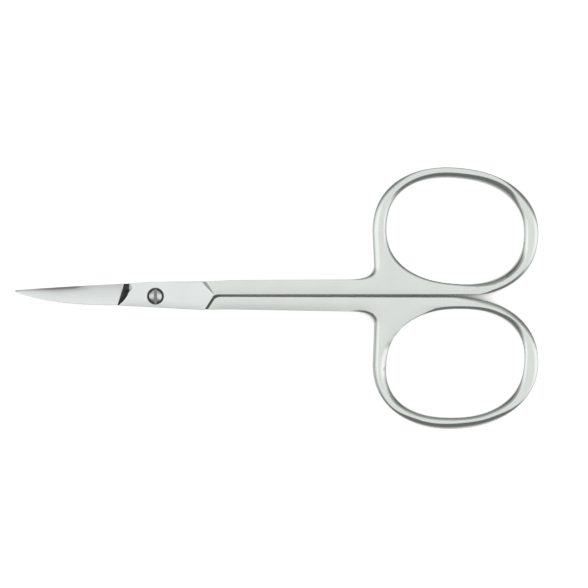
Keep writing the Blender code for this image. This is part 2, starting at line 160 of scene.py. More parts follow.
class Shell:
    """A mesh under way in edit mode, grown loop by loop.

    Attributes:
        CAP: The material slot that marks the flat faces until the piece is dressed.
        FLAT_TURN: How far, in degrees, the triangles of a flat face may turn.
    """

    CAP = 1
    FLAT_TURN = 3.0

    def __init__(self, name: str, points: Sequence[Vector]) -> None:
        """Start from a circle of edges laid out on the points.

        Args:
            name: The object's name.
            points: Where the circle's vertices go, in order.
        """
        deselect_all()
        bpy.ops.mesh.primitive_circle_add(vertices=len(points), radius=1.0, location=(0, 0, 0))
        self.obj = bpy.context.object
        self.obj.name = name
        self.obj.data.name = name
        bpy.ops.object.mode_set(mode="EDIT")
        self.loop = list(range(len(points)))
        self._lay(points)

    def _mesh(self) -> bmesh.types.BMesh:
        """Make the edit mesh ready to be read by index.

        Returns:
            The edit mesh.
        """
        bm = bmesh.from_edit_mesh(self.obj.data)
        bm.verts.ensure_lookup_table()
        return bm

    def _lay(self, points: Sequence[Vector]) -> None:
        """Move the vertices of the current loop.

        Args:
            points: Their new places, in the loop's order.
        """
        bm = self._mesh()
        for index, point in zip(self.loop, points):
            bm.verts[index].co = point
        bmesh.update_edit_mesh(self.obj.data)

    def pick(self, *loops: Sequence[int]) -> None:
        """Select the vertices of some loops, and the edges and faces between them.

        Args:
            loops: The loops, each as its vertices' numbers.
        """
        bpy.ops.mesh.select_mode(type="VERT")
        bpy.ops.mesh.select_all(action="DESELECT")
        bm = self._mesh()
        for loop in loops:
            for index in loop:
                bm.verts[index].select_set(True)
        bm.select_flush_mode()
        bmesh.update_edit_mesh(self.obj.data)

    def add_loop(self, points: Sequence[Vector]) -> None:
        """Add another circle of edges, which becomes the current loop.

        Args:
            points: Where the circle's vertices go, in order.
        """
        bpy.ops.mesh.select_all(action="DESELECT")
        bpy.ops.mesh.primitive_circle_add(vertices=len(points), radius=1.0, location=(0, 0, 0))
        self.loop = [v.index for v in self._mesh().verts if v.select]
        self._lay(points)

    def grow(self, *rows: Sequence[Vector]) -> list[int]:
        """Extrude the current loop once for each row of points, and lay each new loop on it.

        Args:
            rows: The places of the new loops' vertices, in the loop's order.

        Returns:
            The last loop's vertices.
        """
        for points in rows:
            self.pick(self.loop)
            bpy.ops.mesh.extrude_edges_move()
            bm = self._mesh()
            self.loop = [
                next(e.other_vert(bm.verts[i]).index for e in bm.verts[i].link_edges
                     if e.other_vert(bm.verts[i]).select)
                for i in self.loop
            ]
            self._lay(points)
        return self.loop

    def cap(self, *loops: Sequence[int]) -> None:
        """Fill a flat face and mark it.

        Args:
            loops: The face's border, and the borders of its openings.
        """
        self.pick(*loops)
        bpy.ops.mesh.mark_seam(clear=False)
        bpy.ops.mesh.fill(use_beauty=True)
        bpy.ops.mesh.dissolve_limited(
            angle_limit=math.radians(self.FLAT_TURN), delimit={"SEAM"}
        )
        for face in self._mesh().faces:
            if face.select:
                face.material_index = self.CAP
        bmesh.update_edit_mesh(self.obj.data)

    def close(self, *loops: Sequence[int]) -> None:
        """Put one face across each of these loops.

        Args:
            loops: The loops, each as its vertices' numbers.
        """
        for loop in loops:
            self.pick(loop)
            bpy.ops.mesh.edge_face_add()

    def close_seams(self) -> None:
        """Merge doubled vertices and put one face across each edge loop left open."""
        bpy.ops.mesh.select_all(action="SELECT")
        bpy.ops.mesh.remove_doubles(threshold=MERGE_REACH)
        bpy.ops.mesh.select_all(action="DESELECT")
        bpy.ops.mesh.select_non_manifold()
        bpy.ops.mesh.edge_face_add()

    def slice(self, axis: Vector, places: Iterable[float]) -> None:
        """Cut through the whole mesh, square to an axis.

        Args:
            axis: The axis.
            places: The cuts' places along it.
        """
        for place in places:
            bpy.ops.mesh.select_all(action="SELECT")
            bpy.ops.mesh.bisect(plane_co=axis * place, plane_no=axis, threshold=MERGE_REACH)

    def trim(self, point: Vector, outward: Vector) -> None:
        """Cut away what lies beyond a plane and close the cut with a flat face."""
        bpy.ops.mesh.select_all(action="SELECT")
        bpy.ops.mesh.bisect(plane_co=point, plane_no=outward, use_fill=True, clear_outer=True)

    def tidy_caps(self, reach: float) -> None:
        """Merge vertices of the caps that slicing has left close together.

        Args:
            reach: The distance under which two vertices are merged.
        """
        bpy.ops.mesh.select_mode(type="FACE")
        bpy.ops.mesh.select_all(action="DESELECT")
        for face in self._mesh().faces:
            face.select_set(face.material_index == self.CAP)
        bmesh.update_edit_mesh(self.obj.data)
        bpy.ops.mesh.remove_doubles(threshold=reach)

    def crown(self, height: Callable[[Vector, Face], float]) -> None:
        """Raise or lower the inner points of the caps.

        Args:
            height: Gives the distance from the middle plane for a point and a face.
        """
        for vert in self._mesh().verts:
            if all(f.material_index == self.CAP for f in vert.link_faces):
                face = Face.OUTER if vert.co.z > 0 else Face.INNER
                vert.co.z = face.value * height(vert.co, face)
        bmesh.update_edit_mesh(self.obj.data)

    def done(self) -> bpy.types.Object:
        """Turn all faces outwards and leave edit mode.

        Returns:
            The object, with its mesh as it was modelled.
        """
        bpy.ops.mesh.select_all(action="SELECT")
        bpy.ops.mesh.normals_make_consistent(inside=False)
        bpy.ops.object.mode_set(mode="OBJECT")
        return self.obj


def pick_where(mesh: bpy.types.Mesh, part: Part, rule: Callable[[object], bool]) -> None:
    """Select what keeps a rule in an edit mesh, and nothing else.

    Args:
        mesh: The mesh, in edit mode.
        part: Whether edges or faces are selected.
        rule: Tells whether one of them is.
    """
    bpy.ops.mesh.select_all(action="DESELECT")
    for element in getattr(bmesh.from_edit_mesh(mesh), part.value):
        if rule(element):
            element.select_set(True)
    bmesh.update_edit_mesh(mesh)


def apply_modifier(obj: bpy.types.Object, kind: str, **settings: object) -> None:
    """Add a modifier and apply it.

    Args:
        obj: The object.
        kind: The modifier's type.
        settings: Its properties.
    """
    activate(obj)
    modifier = obj.modifiers.new(kind.lower(), kind)
    for name, value in settings.items():
        setattr(modifier, name, value)
    bpy.ops.object.modifier_apply(modifier=modifier.name)


def combine(body: bpy.types.Object, helper: bpy.types.Object, join: Join) -> None:
    """Add a helper body to another, or cut it away, and remove the helper."""
    apply_modifier(body, "BOOLEAN", operation=join.value, solver="EXACT", object=helper)
    bpy.data.objects.remove(helper, do_unlink=True)


def put_in_place(obj: bpy.types.Object, shift: Vector, turned: bool = False) -> None:
    """Take a finished mesh from its own plan in millimetres to its place in metres.

    Args:
        obj: The object, which stays at the origin.
        shift: Where the plan's origin lies, in millimetres.
        turned: Whether the piece is turned half round about the long axis first.
    """
    activate(obj)
    bpy.ops.object.mode_set(mode="EDIT")
    bpy.ops.mesh.select_all(action="SELECT")
    if turned:
        bpy.ops.transform.rotate(value=math.pi, orient_axis="X", center_override=(0, 0, 0))
    bpy.ops.transform.translate(value=shift)
    bpy.ops.transform.resize(value=(MM, MM, MM), center_override=(0, 0, 0))
    bpy.ops.object.mode_set(mode="OBJECT")


def finish_shading(obj: bpy.types.Object, angle: float) -> None:
    """Shade a piece smooth but for its sharp edges, while it is still in millimetres.

    Args:
        obj: The object.
        angle: The angle in degrees from which an edge is sharp.
    """
    activate(obj)
    bpy.ops.object.shade_smooth_by_angle(angle=math.radians(angle))
    apply_modifier(obj, "WEIGHTED_NORMAL", keep_sharp=True, mode="FACE_AREA_WITH_ANGLE")


def bow(start: Rim, corner: Rim, end: Rim, steps: int) -> list[Rim]:
    """Rims along a smooth curve between two rims.

    Args:
        start: The first rim.
        corner: Where the directions at the two ends meet, with the flank to bend towards there.
        end: The last rim.
        steps: How many parts the curve is divided in.

    Returns:
        The rims, both ends among them.
    """
    shares = [step / steps for step in range(steps + 1)]
    return [start.towards(corner, t).towards(corner.towards(end, t), t) for t in shares]


def divided(rims: Sequence[Rim], longest: float) -> list[Rim]:
    """Add rims to an open outline where two lie far apart.

    Args:
        rims: The outline.
        longest: The longest edge that is left.

    Returns:
        The outline, with the extra rims.
    """
    result = [rims[0]]
    for before, after in zip(rims, rims[1:]):
        parts = math.ceil((after.place() - before.place()).length / longest)
        result += [before.towards(after, part / parts) for part in range(1, parts + 1)]
    return result


def inward(rims: Sequence[Rim]) -> list[Vector]:
    """Find the direction into the steel at each rim of a closed outline.

    Args:
        rims: The outline.

    Returns:
        One vector for each rim, longer at corners.
    """
    directions = []
    for index, rim in enumerate(rims):
        arriving = (rim.place() - rims[index - 1].place()).normalized()
        leaving = (rims[(index + 1) % len(rims)].place() - rim.place()).normalized()
        along = (arriving + leaving).normalized()
        directions.append(Vector((-along.y, along.x)) / max(along.dot(leaving), 0.5))
    return directions


@dataclass(frozen=True)
class Flank:
    """The rounding between an upright wall and a flat face, the steep part of an ellipse.

    Attributes:
        crease: The turn, in degrees from the ellipse's top, where the flat face meets it.
        steps: Rows of faces up the flank.
        wall_steps: Rows of faces up the wall.
    """

    crease: float = 18.0
    steps: int = 9
    wall_steps: int = 2

    def rows(
        self,
        rims: Sequence[Rim],
        start_w: float,
        height_at: Callable[[float, float], float],
        face: Face,
    ) -> list[list[Vector]]:
        """Rows of points from just above the middle loop to the border of the flat face.

        Args:
            rims: The closed outline.
            start_w: The height of the middle loop.
            height_at: The flat face's distance from the middle plane at a place in plan.
            face: Which face the wall rises to.

        Returns:
            One row of points for each loop.
        """
        directions = inward(rims)
        last = math.radians(self.crease)
        span = 1 - math.sin(last)
        climbs = [(step / self.wall_steps, math.pi / 2) for step in range(1, self.wall_steps + 1)]
        for step in range(self.steps - 1, -1, -1):
            climbs.append((1.0, last + (math.pi / 2 - last) * step / self.steps))
        rows = []
        for climb, turn in climbs:
            inset = (1 - math.sin(turn)) / span
            fall = (math.cos(last) - math.cos(turn)) / span
            row = []
            for rim, into in zip(rims, directions):
                point = rim.place() + into * rim.flank * inset
                border = rim.place() + into * rim.flank
                depth = fall * rim.flank * rim.steepness
                top = face.value * (height_at(border.x, border.y) - depth)
                row.append(Vector((point.x, point.y, start_w + (top - start_w) * climb)))
            rows.append(row)
        return rows


@dataclass(frozen=True)
class Spread:
    """A flank's width and steepness at some turns round a ring, and eased between them.

    Attributes:
        places: The turns in degrees, rising, each with the width and the steepness there.
    """

    places: tuple[tuple[float, float, float], ...]

    def rim(self, turn: float, point: Vector) -> Rim:
        """The rim at a turn, laid on a point in plan.

        Args:
            turn: The turn in degrees.
            point: The rim's place in plan.

        Returns:
            The rim.
        """
        first = self.places[0]
        held = (turn - first[0]) % 360 + first[0]
        closed = [*self.places, (first[0] + 360, *first[1:])]
        for before, after in zip(closed, closed[1:]):
            if held <= after[0]:
                share = eased((held - before[0]) / (after[0] - before[0]))
                start, end = Rim(0, 0, *before[1:]), Rim(0, 0, *after[1:])
                return start.towards(end, share, point)
        return Rim(point.x, point.y, *first[1:])


@dataclass(frozen=True)
class Oval:
    """A superellipse in plan whose far end dips and whose upright axis may lean back."""

    centre: Pair
    length: float
    width: float
    fullness: float
    tilt: float
    lean: float

    def point(self, turn: float) -> Vector:
        """A point of the oval.

        Args:
            turn: The turn in degrees, from the oval's right end.

        Returns:
            The point in plan.
        """
        along, across = math.cos(math.radians(turn)), math.sin(math.radians(turn))
        power = 2 / self.fullness
        point = Vector(
            (
                math.copysign(abs(along) ** power, along) * self.length / 2,
                math.copysign(abs(across) ** power, across) * self.width / 2,
            )
        )
        point.x -= self.lean * point.y
        return Vector(self.centre) + Matrix.Rotation(math.radians(-self.tilt), 2) @ point


@dataclass(frozen=True)
class FingerRing:
    """A finger ring: its opening, and the band of steel round it."""

    v: float
    width: float
    tilt: float
    lean: float
    band_far: float
    band_near: float
    band_fullness: float
    band_tilt: float
    opening_flank: Spread
    band_flank: Spread
    fullness: float = 2.3
    opening_u: float = 51.56
    opening_length: float = 23.72
    joint_end: float = 2.38
    far_end: float = 2.42
    leaves_slit: float = 0.35
    steps: int = 168
    slit_steps: int = 12

    def opening_rims(self) -> list[Rim]:
        """The finger opening's outline.

        Returns:
            The rims, taken clockwise so that the steel is on the left.
        """
        oval = Oval(
            (self.opening_u, self.v),
            self.opening_length, self.width, self.fullness, self.tilt, self.lean,
        )
        rims = []
        for step in range(self.steps):
            turn = -360 * step / self.steps
            rims.append(self.opening_flank.rim(turn, oval.point(turn)))
        return rims

    def band_rims(self, slit: float, slit_flank: float) -> list[Rim]:
        """The band's outside, from where it leaves the slit round to its end at the web.

        Args:
            slit: The slit face's distance from the slit's centre.
            slit_flank: The width of the flank along the slit.

        Returns:
            The rims, the curve out of the slit among them.
        """
        length = self.opening_length + self.far_end + self.joint_end
        width = self.width + self.band_far + self.band_near
        centre = (
            self.opening_u + (self.far_end - self.joint_end) / 2,
            self.v + (self.band_far - self.band_near) / 2,
        )
        oval = Oval(centre, length, width, self.band_fullness, self.band_tilt, 0)
        turns = [-90 + 360 * step / self.steps for step in range(self.steps)]
        points = [oval.point(turn) for turn in turns]
        lowest = min(range(self.steps // 2), key=lambda i: points[i].y)
        rise = max(points[lowest].y, slit) + self.leaves_slit
        first = next(i for i in range(lowest, self.steps) if points[i].y > rise)
        last = min(range(self.steps), key=lambda i: points[i].x)
        rims = [self.band_flank.rim(turns[i], points[i]) for i in range(first, last + 1)]
        climb = (points[first + 1] - points[first]).normalized()
        reach = (points[first].y - slit) / climb.y
        corner = points[first] - climb * reach
        start = Rim(corner.x - reach, slit, slit_flank)
        middle = start.towards(rims[0], 0.5, corner)
        return bow(start, middle, rims[0], self.slit_steps)[:-1] + rims


@dataclass(frozen=True)
class Blade:
    """A ground blade, from its tip to its tail inside the joint plate.

    Attributes:
        bevel_share: The honed bevel's width, as a share of the blade's.
        bevel_least: What is left of that width at both ends.
        bevel_grows: From where and over what share of the length the bevel widens.
        bevel_fades: From where and over what share of the length it narrows again.
        hollow_at_tip: How deep the section is at the tip, as a share of its depth in the middle.
        hollow_grows: Over what share of the length it deepens.
        hollow_fades: From where and over what share it gets shallower, and by how much.
        edge_depth: How far the ground face has fallen at the bevel.
        bevel_rise: How far the bevel's two borders lie below and above that.
        crowding: How much closer the rows stand towards the tip.
    """

    tip_v: float
    edge: float
    spine: float
    spine_fullness: float
    edge_fullness: float = 1.25
    length: float = 24.1
    root_u: float = -5.6
    buried: float = 2.2
    buried_inset: float = 0.4
    back_w: float = 0.17
    thickness: float = 0.8
    tip_thickness: float = 0.4
    tip_width: float = 0.4
    steps: int = 36
    crowding: float = 1.3
    bevel_share: float = 0.1
    bevel_least: float = 0.04
    bevel_grows: Pair = (0.12, 0.28)
    bevel_fades: Pair = (0.55, 0.07)
    hollow_at_tip: float = 0.35
    hollow_grows: float = 0.4
    hollow_fades: tuple[float, float, float] = (0.5, 0.3, 0.65)
    edge_depth: float = 0.73
    bevel_rise: Pair = (0.11, 0.15)
    section: tuple[Pair, ...] = (
        (0.16, 0.525), (0.24, 0.625), (0.33, 0.72), (0.43, 0.805), (0.54, 0.875), (0.66, 0.93),
        (0.78, 0.968), (0.88, 0.988), (0.96, 0.998), (0.99, 1.0), (1.0, 0.98), (1.0, 0.0),
    )

    def limits(self, u: float) -> Pair:
        """The blade's two borders in plan.

        Args:
            u: The place along the blade.

        Returns:
            Where its edge and its spine lie across.
        """
        share = min(max((u + self.length) / (self.length + self.root_u), 0.0), 1.0)
        top, bottom = self.tip_v + self.tip_width / 2, self.tip_v - self.tip_width / 2
        edge = top + (self.edge - top) * (1 - (1 - share) ** self.edge_fullness)
        spine = bottom - (self.spine + bottom) * (1 - (1 - share) ** self.spine_fullness)
        return edge, spine

    def _section_at(self, share: float) -> list[Pair]:
        """The section, honed in the middle of the blade and flatter at both ends.

        Args:
            share: The place, as a share of the blade's length from its tip.

        Returns:
            Its points, as shares of the width and of the thickness.
        """
        (grow_from, grow_over), (fade_from, fade_over) = self.bevel_grows, self.bevel_fades
        wide = eased((share - grow_from) / grow_over) * (1 - eased((share - fade_from) / fade_over))
        wide = self.bevel_least + (1 - self.bevel_least) * wide
        fade_from, fade_over, fade_by = self.hollow_fades
        hollow = eased(share / self.hollow_grows)
        hollow *= 1 - fade_by * eased((share - fade_from) / fade_over)
        hollow = self.hollow_at_tip + (1 - self.hollow_at_tip) * hollow
        start = 1 - self.edge_depth * hollow
        below, above = self.bevel_rise
        bevel = [
            (0.0, 0.0),
            (0.0, start - below * wide),
            (self.bevel_share * wide, start + above * wide),
        ]
        body = [(across, 1 - (1 - up) * hollow) for across, up in self.section[:-2]]
        return [*bevel, *body, *self.section[-2:]]

    def _row(self, u: float, share: float, inset: float = 0.0) -> list[Vector]:
        """The section's points at one place.

        Args:
            u: The place along the blade.
            share: The same place, as a share of the blade's length from its tip.
            inset: How much narrower the section is on each side.

        Returns:
            The points, in the half's plan.
        """
        edge, spine = self.limits(u)
        edge, spine = edge - inset, spine + inset
        thick = self.tip_thickness + (self.thickness - self.tip_thickness) * share
        return [
            Vector((u, edge + (spine - edge) * across, self.back_w + thick * up))
            for across, up in self._section_at(share)
        ]

    def root_height(self, v: float) -> float:
        """The height of the blade's face at its root.

        Args:
            v: The place across the blade.

        Returns:
            The height.
        """
        across = min(max((self.edge - v) / (self.edge + self.spine), 0.0), 1.0)
        section = self._section_at(1.0)[1:-1]
        for before, after in zip(section, section[1:]):
            if across <= after[0]:
                share = (across - before[0]) / max(after[0] - before[0], 1e-6)
                return self.back_w + self.thickness * (before[1] + (after[1] - before[1]) * share)
        return self.back_w + self.thickness * section[-1][1]

    def body(self, name: str) -> bpy.types.Object:
        """Model the blade by extruding its section from the tail to the tip.

        Args:
            name: The helper object's name.

        Returns:
            The closed body, in the half's plan.
        """
        shell = Shell(name, self._row(self.root_u + self.buried, 1.0, self.buried_inset))
        tail = shell.loop
        rows = []
        for step in range(self.steps, -1, -1):
            share = (step / self.steps) ** self.crowding
            rows.append(self._row(-self.length + (self.length + self.root_u) * share, share))
        shell.close(tail, shell.grow(*rows))
        return shell.done()


@dataclass(frozen=True)
class JointPlate:
    """The flat plate that carries the blade and crosses the other half's plate.

    Attributes:
        edge: How far the cutting edge's side stands from the slit.
        spine: How far the other side stands from the slit.
        facet_rows: Where rows of faces run along the facet, from its top.
        foot_dip: How far the ramp's foot is sunk into the blade's face.
        ramp_over: How far the ramp's cutter reaches past what it cuts.
        ramp_rows: The shares of the ramp's height where it has rows of points.
        ramp_least: The least length of the ramp.
        crest_start: From where and over what width the honed crest begins.
        crest_least: The share of the crest under which it has no slope of its own.
        slices_along: The first row across the pad, the rows' distance and their number.
        slices_across: The same for the rows along it.
        tidy_reach: The distance under which points of the pad's face are merged.
    """

    edge: float
    edge_at_blade: float
    spine: float
    spine_at_blade: float
    edge_full_u: float = -0.8
    end_u: float = 8.4
    end_lean: float = 1.6
    fillet_along: float = 0.9
    fillet_up: float = 0.6
    flank: float = 0.03
    pad_inset: float = -0.012
    pad_flank: float = 0.05
    pad_buried: float = 0.4
    facet_start_u: float = 8.71
    facet_middle: Pair = (9.39, 1.37)
    facet_top: Pair = (8.15, 2.03)
    facet_turn: float = 42.7
    facet_slope: float = 18.0
    facet_rows: tuple[float, ...] = (-0.05, 0.05, 0.15, 0.27, 0.4)
    apex_v: float = 0.3
    foot_u: float = -6.02
    foot_slant: float = 0.3
    head_u: float = -4.5
    head_curl: float = 0.22
    head_curl_power: float = 2.0
    head_curl_v: float = 1.16
    foot_dip: float = 0.01
    ramp_least_foot: float = 0.55
    ramp_hollow: float = 0.05
    ramp_over: float = 1.0
    ramp_rows: tuple[float, ...] = (0.25, 0.5, 0.75)
    ramp_least: float = 0.03
    crest_width: float = 0.5
    crest_drop: float = 0.17
    crest_start: Pair = (0.3, 0.9)
    crest_least: float = 0.02
    ramp_steps: int = 36
    corner_steps: int = 8
    longest_edge: float = 0.8
    slices_along: Series = (-6.5, 0.8, 21)
    slices_across: Series = (-2.0, 0.5, 9)
    tidy_reach: float = 0.02
    plate_past_foot: float = 0.03
    pad_before_foot: float = 0.12

    def ramp_foot_u(self, v: float) -> float:
        """Where the ramp meets the blade, at a place across it."""
        return self.foot_u + self.foot_slant * v

    def _plate_u(self, v: float) -> float:
        """Where the plate ends inside the blade, just past the ramp's foot."""
        return self.ramp_foot_u(v) - self.plate_past_foot

    def _pad_u(self, v: float) -> float:
        """Where the pad begins, in what the ramp takes off."""
        return self.ramp_foot_u(v) + self.pad_before_foot

    def ramp_head_u(self, v: float) -> float:
        """Where the ramp's ground face, painted dark as a reflection, ends towards the pad, at a
        place across it.
        """
        curl = self.head_curl * max(0.0, self.head_curl_v - v) ** self.head_curl_power
        return max(self.head_u - curl, self.ramp_foot_u(v) + self.ramp_least)

    def crest_share(self, v: float) -> float:
        """How much of the narrow honed crest there is behind the ramp, at a place across it."""
        return eased((v - self.crest_start[0]) / self.crest_start[1])

    def rims(self, slit: float, slit_flank: float) -> list[Rim]:
        """The plate's outline, from its edge side round the blade's end to the slit.

        Args:
            slit: The slit face's distance from the slit's centre.
            slit_flank: The width of the flank along the slit.

        Returns:
            The rims.
        """
        end_u = self.end_u + self.end_lean * (1 + slit / self.spine)
        rise = Vector((self.end_lean, self.spine)).normalized()
        corner = Vector((end_u, slit))
        near = corner - rise * self.fillet_up
        start = Rim(near.x, near.y, self.flank)
        end = Rim(end_u + self.fillet_along, slit, slit_flank)
        fillet = bow(start, start.towards(end, 0.5, corner), end, self.corner_steps)
        return [
            Rim(self.edge_full_u, self.edge, self.flank),
            Rim(self._plate_u(self.edge_at_blade), self.edge_at_blade, self.flank),
            Rim(self._plate_u(-self.spine_at_blade), -self.spine_at_blade, self.flank),
            Rim(self.end_u, -self.spine, self.flank),
            *fillet,
        ]

    def pad_rims(self) -> list[Rim]:
        """The raised pad's outline.

        Returns:
            The rims, from its spine side round by the apex to its edge side.
        """
        apex_u = self.end_u + self.end_lean - self.pad_inset
        spine_v = self.pad_inset - self.spine
        edge_v = self.edge - self.pad_inset
        side_v = self.pad_inset - self.spine_at_blade
        top_v = self.edge_at_blade - self.pad_inset
        return [
            Rim(self._pad_u(side_v), side_v, self.pad_flank),
            Rim(self.end_u - self.pad_inset, spine_v, self.pad_flank),
            Rim(apex_u, 0, self.pad_flank),
            Rim(apex_u, self.apex_v, self.pad_flank),
            Rim(*self.facet_middle, self.pad_flank),
            Rim(self.facet_start_u, edge_v, self.pad_flank),
            Rim(self.edge_full_u, edge_v, self.pad_flank),
            Rim(self._pad_u(top_v), top_v, self.pad_flank),
        ]

    def pad(self, name: str, low: float, high: float) -> bpy.types.Object:
        """Model the raised pad, slightly crowned, its underside buried in the plate.

        Args:
            name: The helper object's name.
            low: The height of the plate's face.
            high: The height of the pad's face.

        Returns:
            The closed body, in the half's plan.
        """
        rims = self.pad_rims()
        rims = divided([*rims, rims[0]], self.longest_edge)[:-1]
        start_w = low - self.pad_buried
        shell = Shell(name, [Vector((rim.u, rim.v, start_w)) for rim in rims])
        base = shell.loop
        rows = Flank().rows(rims, start_w, lambda u, v: high - PAD_CROWN.drop, Face.OUTER)
        top = shell.grow(*rows)
        shell.close(base)
        shell.cap(top)
        shell.slice(ALONG, spaced(*self.slices_along))
        shell.slice(ACROSS, spaced(*self.slices_across))
        shell.tidy_caps(self.tidy_reach)
        shell.crown(lambda point, face: high - PAD_CROWN.sink(point, rows[-1]))
        self._cut_facet(shell, high)
        return shell.done()

    def _cut_facet(self, shell: Shell, high: float) -> None:
        """Grind the flat facet at the pad's end, with rows of faces along it.

        Args:
            shell: The pad's mesh.
            high: The height of the pad's face.
        """
        turn, slope = math.radians(self.facet_turn), math.radians(self.facet_slope)
        across = Vector((math.cos(turn), math.sin(turn), 0))
        top = Vector((*self.facet_top, high - PAD_CROWN.drop / 3))
        shell.trim(top, across * math.sin(slope) + Vector((0, 0, math.cos(slope))))
        shell.slice(across, [across.dot(top) + away for away in self.facet_rows])

    def ramp(self, name: str, blade: Blade, high: float) -> bpy.types.Object:
        """Model what the grinding wheel takes off between the pad and the blade.

        Args:
            name: The helper object's name.
            blade: The blade, whose face the ramp runs down to.
            high: The height of the pad's face.

        Returns:
            The closed cutter, in the half's plan.
        """
        rows = []
        over = self.ramp_over
        edge_v, spine_v = self.edge_at_blade + over, -self.spine_at_blade - over
        for step in range(self.ramp_steps + 1):
            v = edge_v + (spine_v - edge_v) * step / self.ramp_steps
            soft = self.crest_share(v)
            foot_w = max(blade.root_height(v) - self.foot_dip, self.ramp_least_foot)
            foot = Vector((self.ramp_foot_u(v), v, foot_w))
            head = Vector((self.ramp_head_u(v), v, high - self.crest_drop * soft))
            crest = head + Vector((self.crest_width * soft, 0, self.crest_drop * soft))
            climb = (head - foot).normalized()
            leave = (crest - head).normalized() if soft > self.crest_least else climb
            hollow = Vector((climb.z, 0, -climb.x)) * self.ramp_hollow
            low, top = foot - climb * over / 2, crest + leave * over / 2
            ramp = [foot.lerp(head, t) + hollow * 4 * t * (1 - t) for t in self.ramp_rows]
            ceiling = high + 2 * over
            above = [Vector((top.x, v, ceiling)), Vector((low.x, v, ceiling))]
            rows.append([low, foot, *ramp, head, crest, top, *above])
        shell = Shell(name, rows[0])
        shell.close(shell.loop, shell.grow(*rows[1:]))
        return shell.done()


@dataclass(frozen=True)
class Crown:
    """How a flat face falls away towards its border, as polishing leaves it.

    Attributes:
        drop: How far the border lies below the flat, in millimetres.
        reach: How far from the border the fall begins, in millimetres.
    """

    drop: float
    reach: float

    def sink(self, point: Vector, border: Sequence[Vector]) -> float:
        """How far a point of the face lies below the flat.

        Args:
            point: The point.
            border: The face's border, as points in order.

        Returns:
            The depth, in millimetres.
        """
        nearest = min(
            distance_to_edge(point, before, after)
            for before, after in zip(border, [*border[1:], border[0]])
        )
        return self.drop * (1 - min(nearest / self.reach, 1.0)) ** 2


PAD_CROWN = Crown(drop=0.065, reach=1.5)
FACE_CROWN = Crown(drop=0.035, reach=1.3)


def distance_to_edge(point: Vector, start: Vector, end: Vector) -> float:
    """The distance in plan from a point to the line between two others.

    Args:
        point: The point.
        start: One end of the line.
        end: The other end.

    Returns:
        The distance.
    """
    along_x, along_y = end.x - start.x, end.y - start.y
    off_x, off_y = point.x - start.x, point.y - start.y
    length = along_x * along_x + along_y * along_y
    share = 0.0 if length == 0 else (off_x * along_x + off_y * along_y) / length
    share = min(max(share, 0.0), 1.0)
    return math.hypot(off_x - along_x * share, off_y - along_y * share)


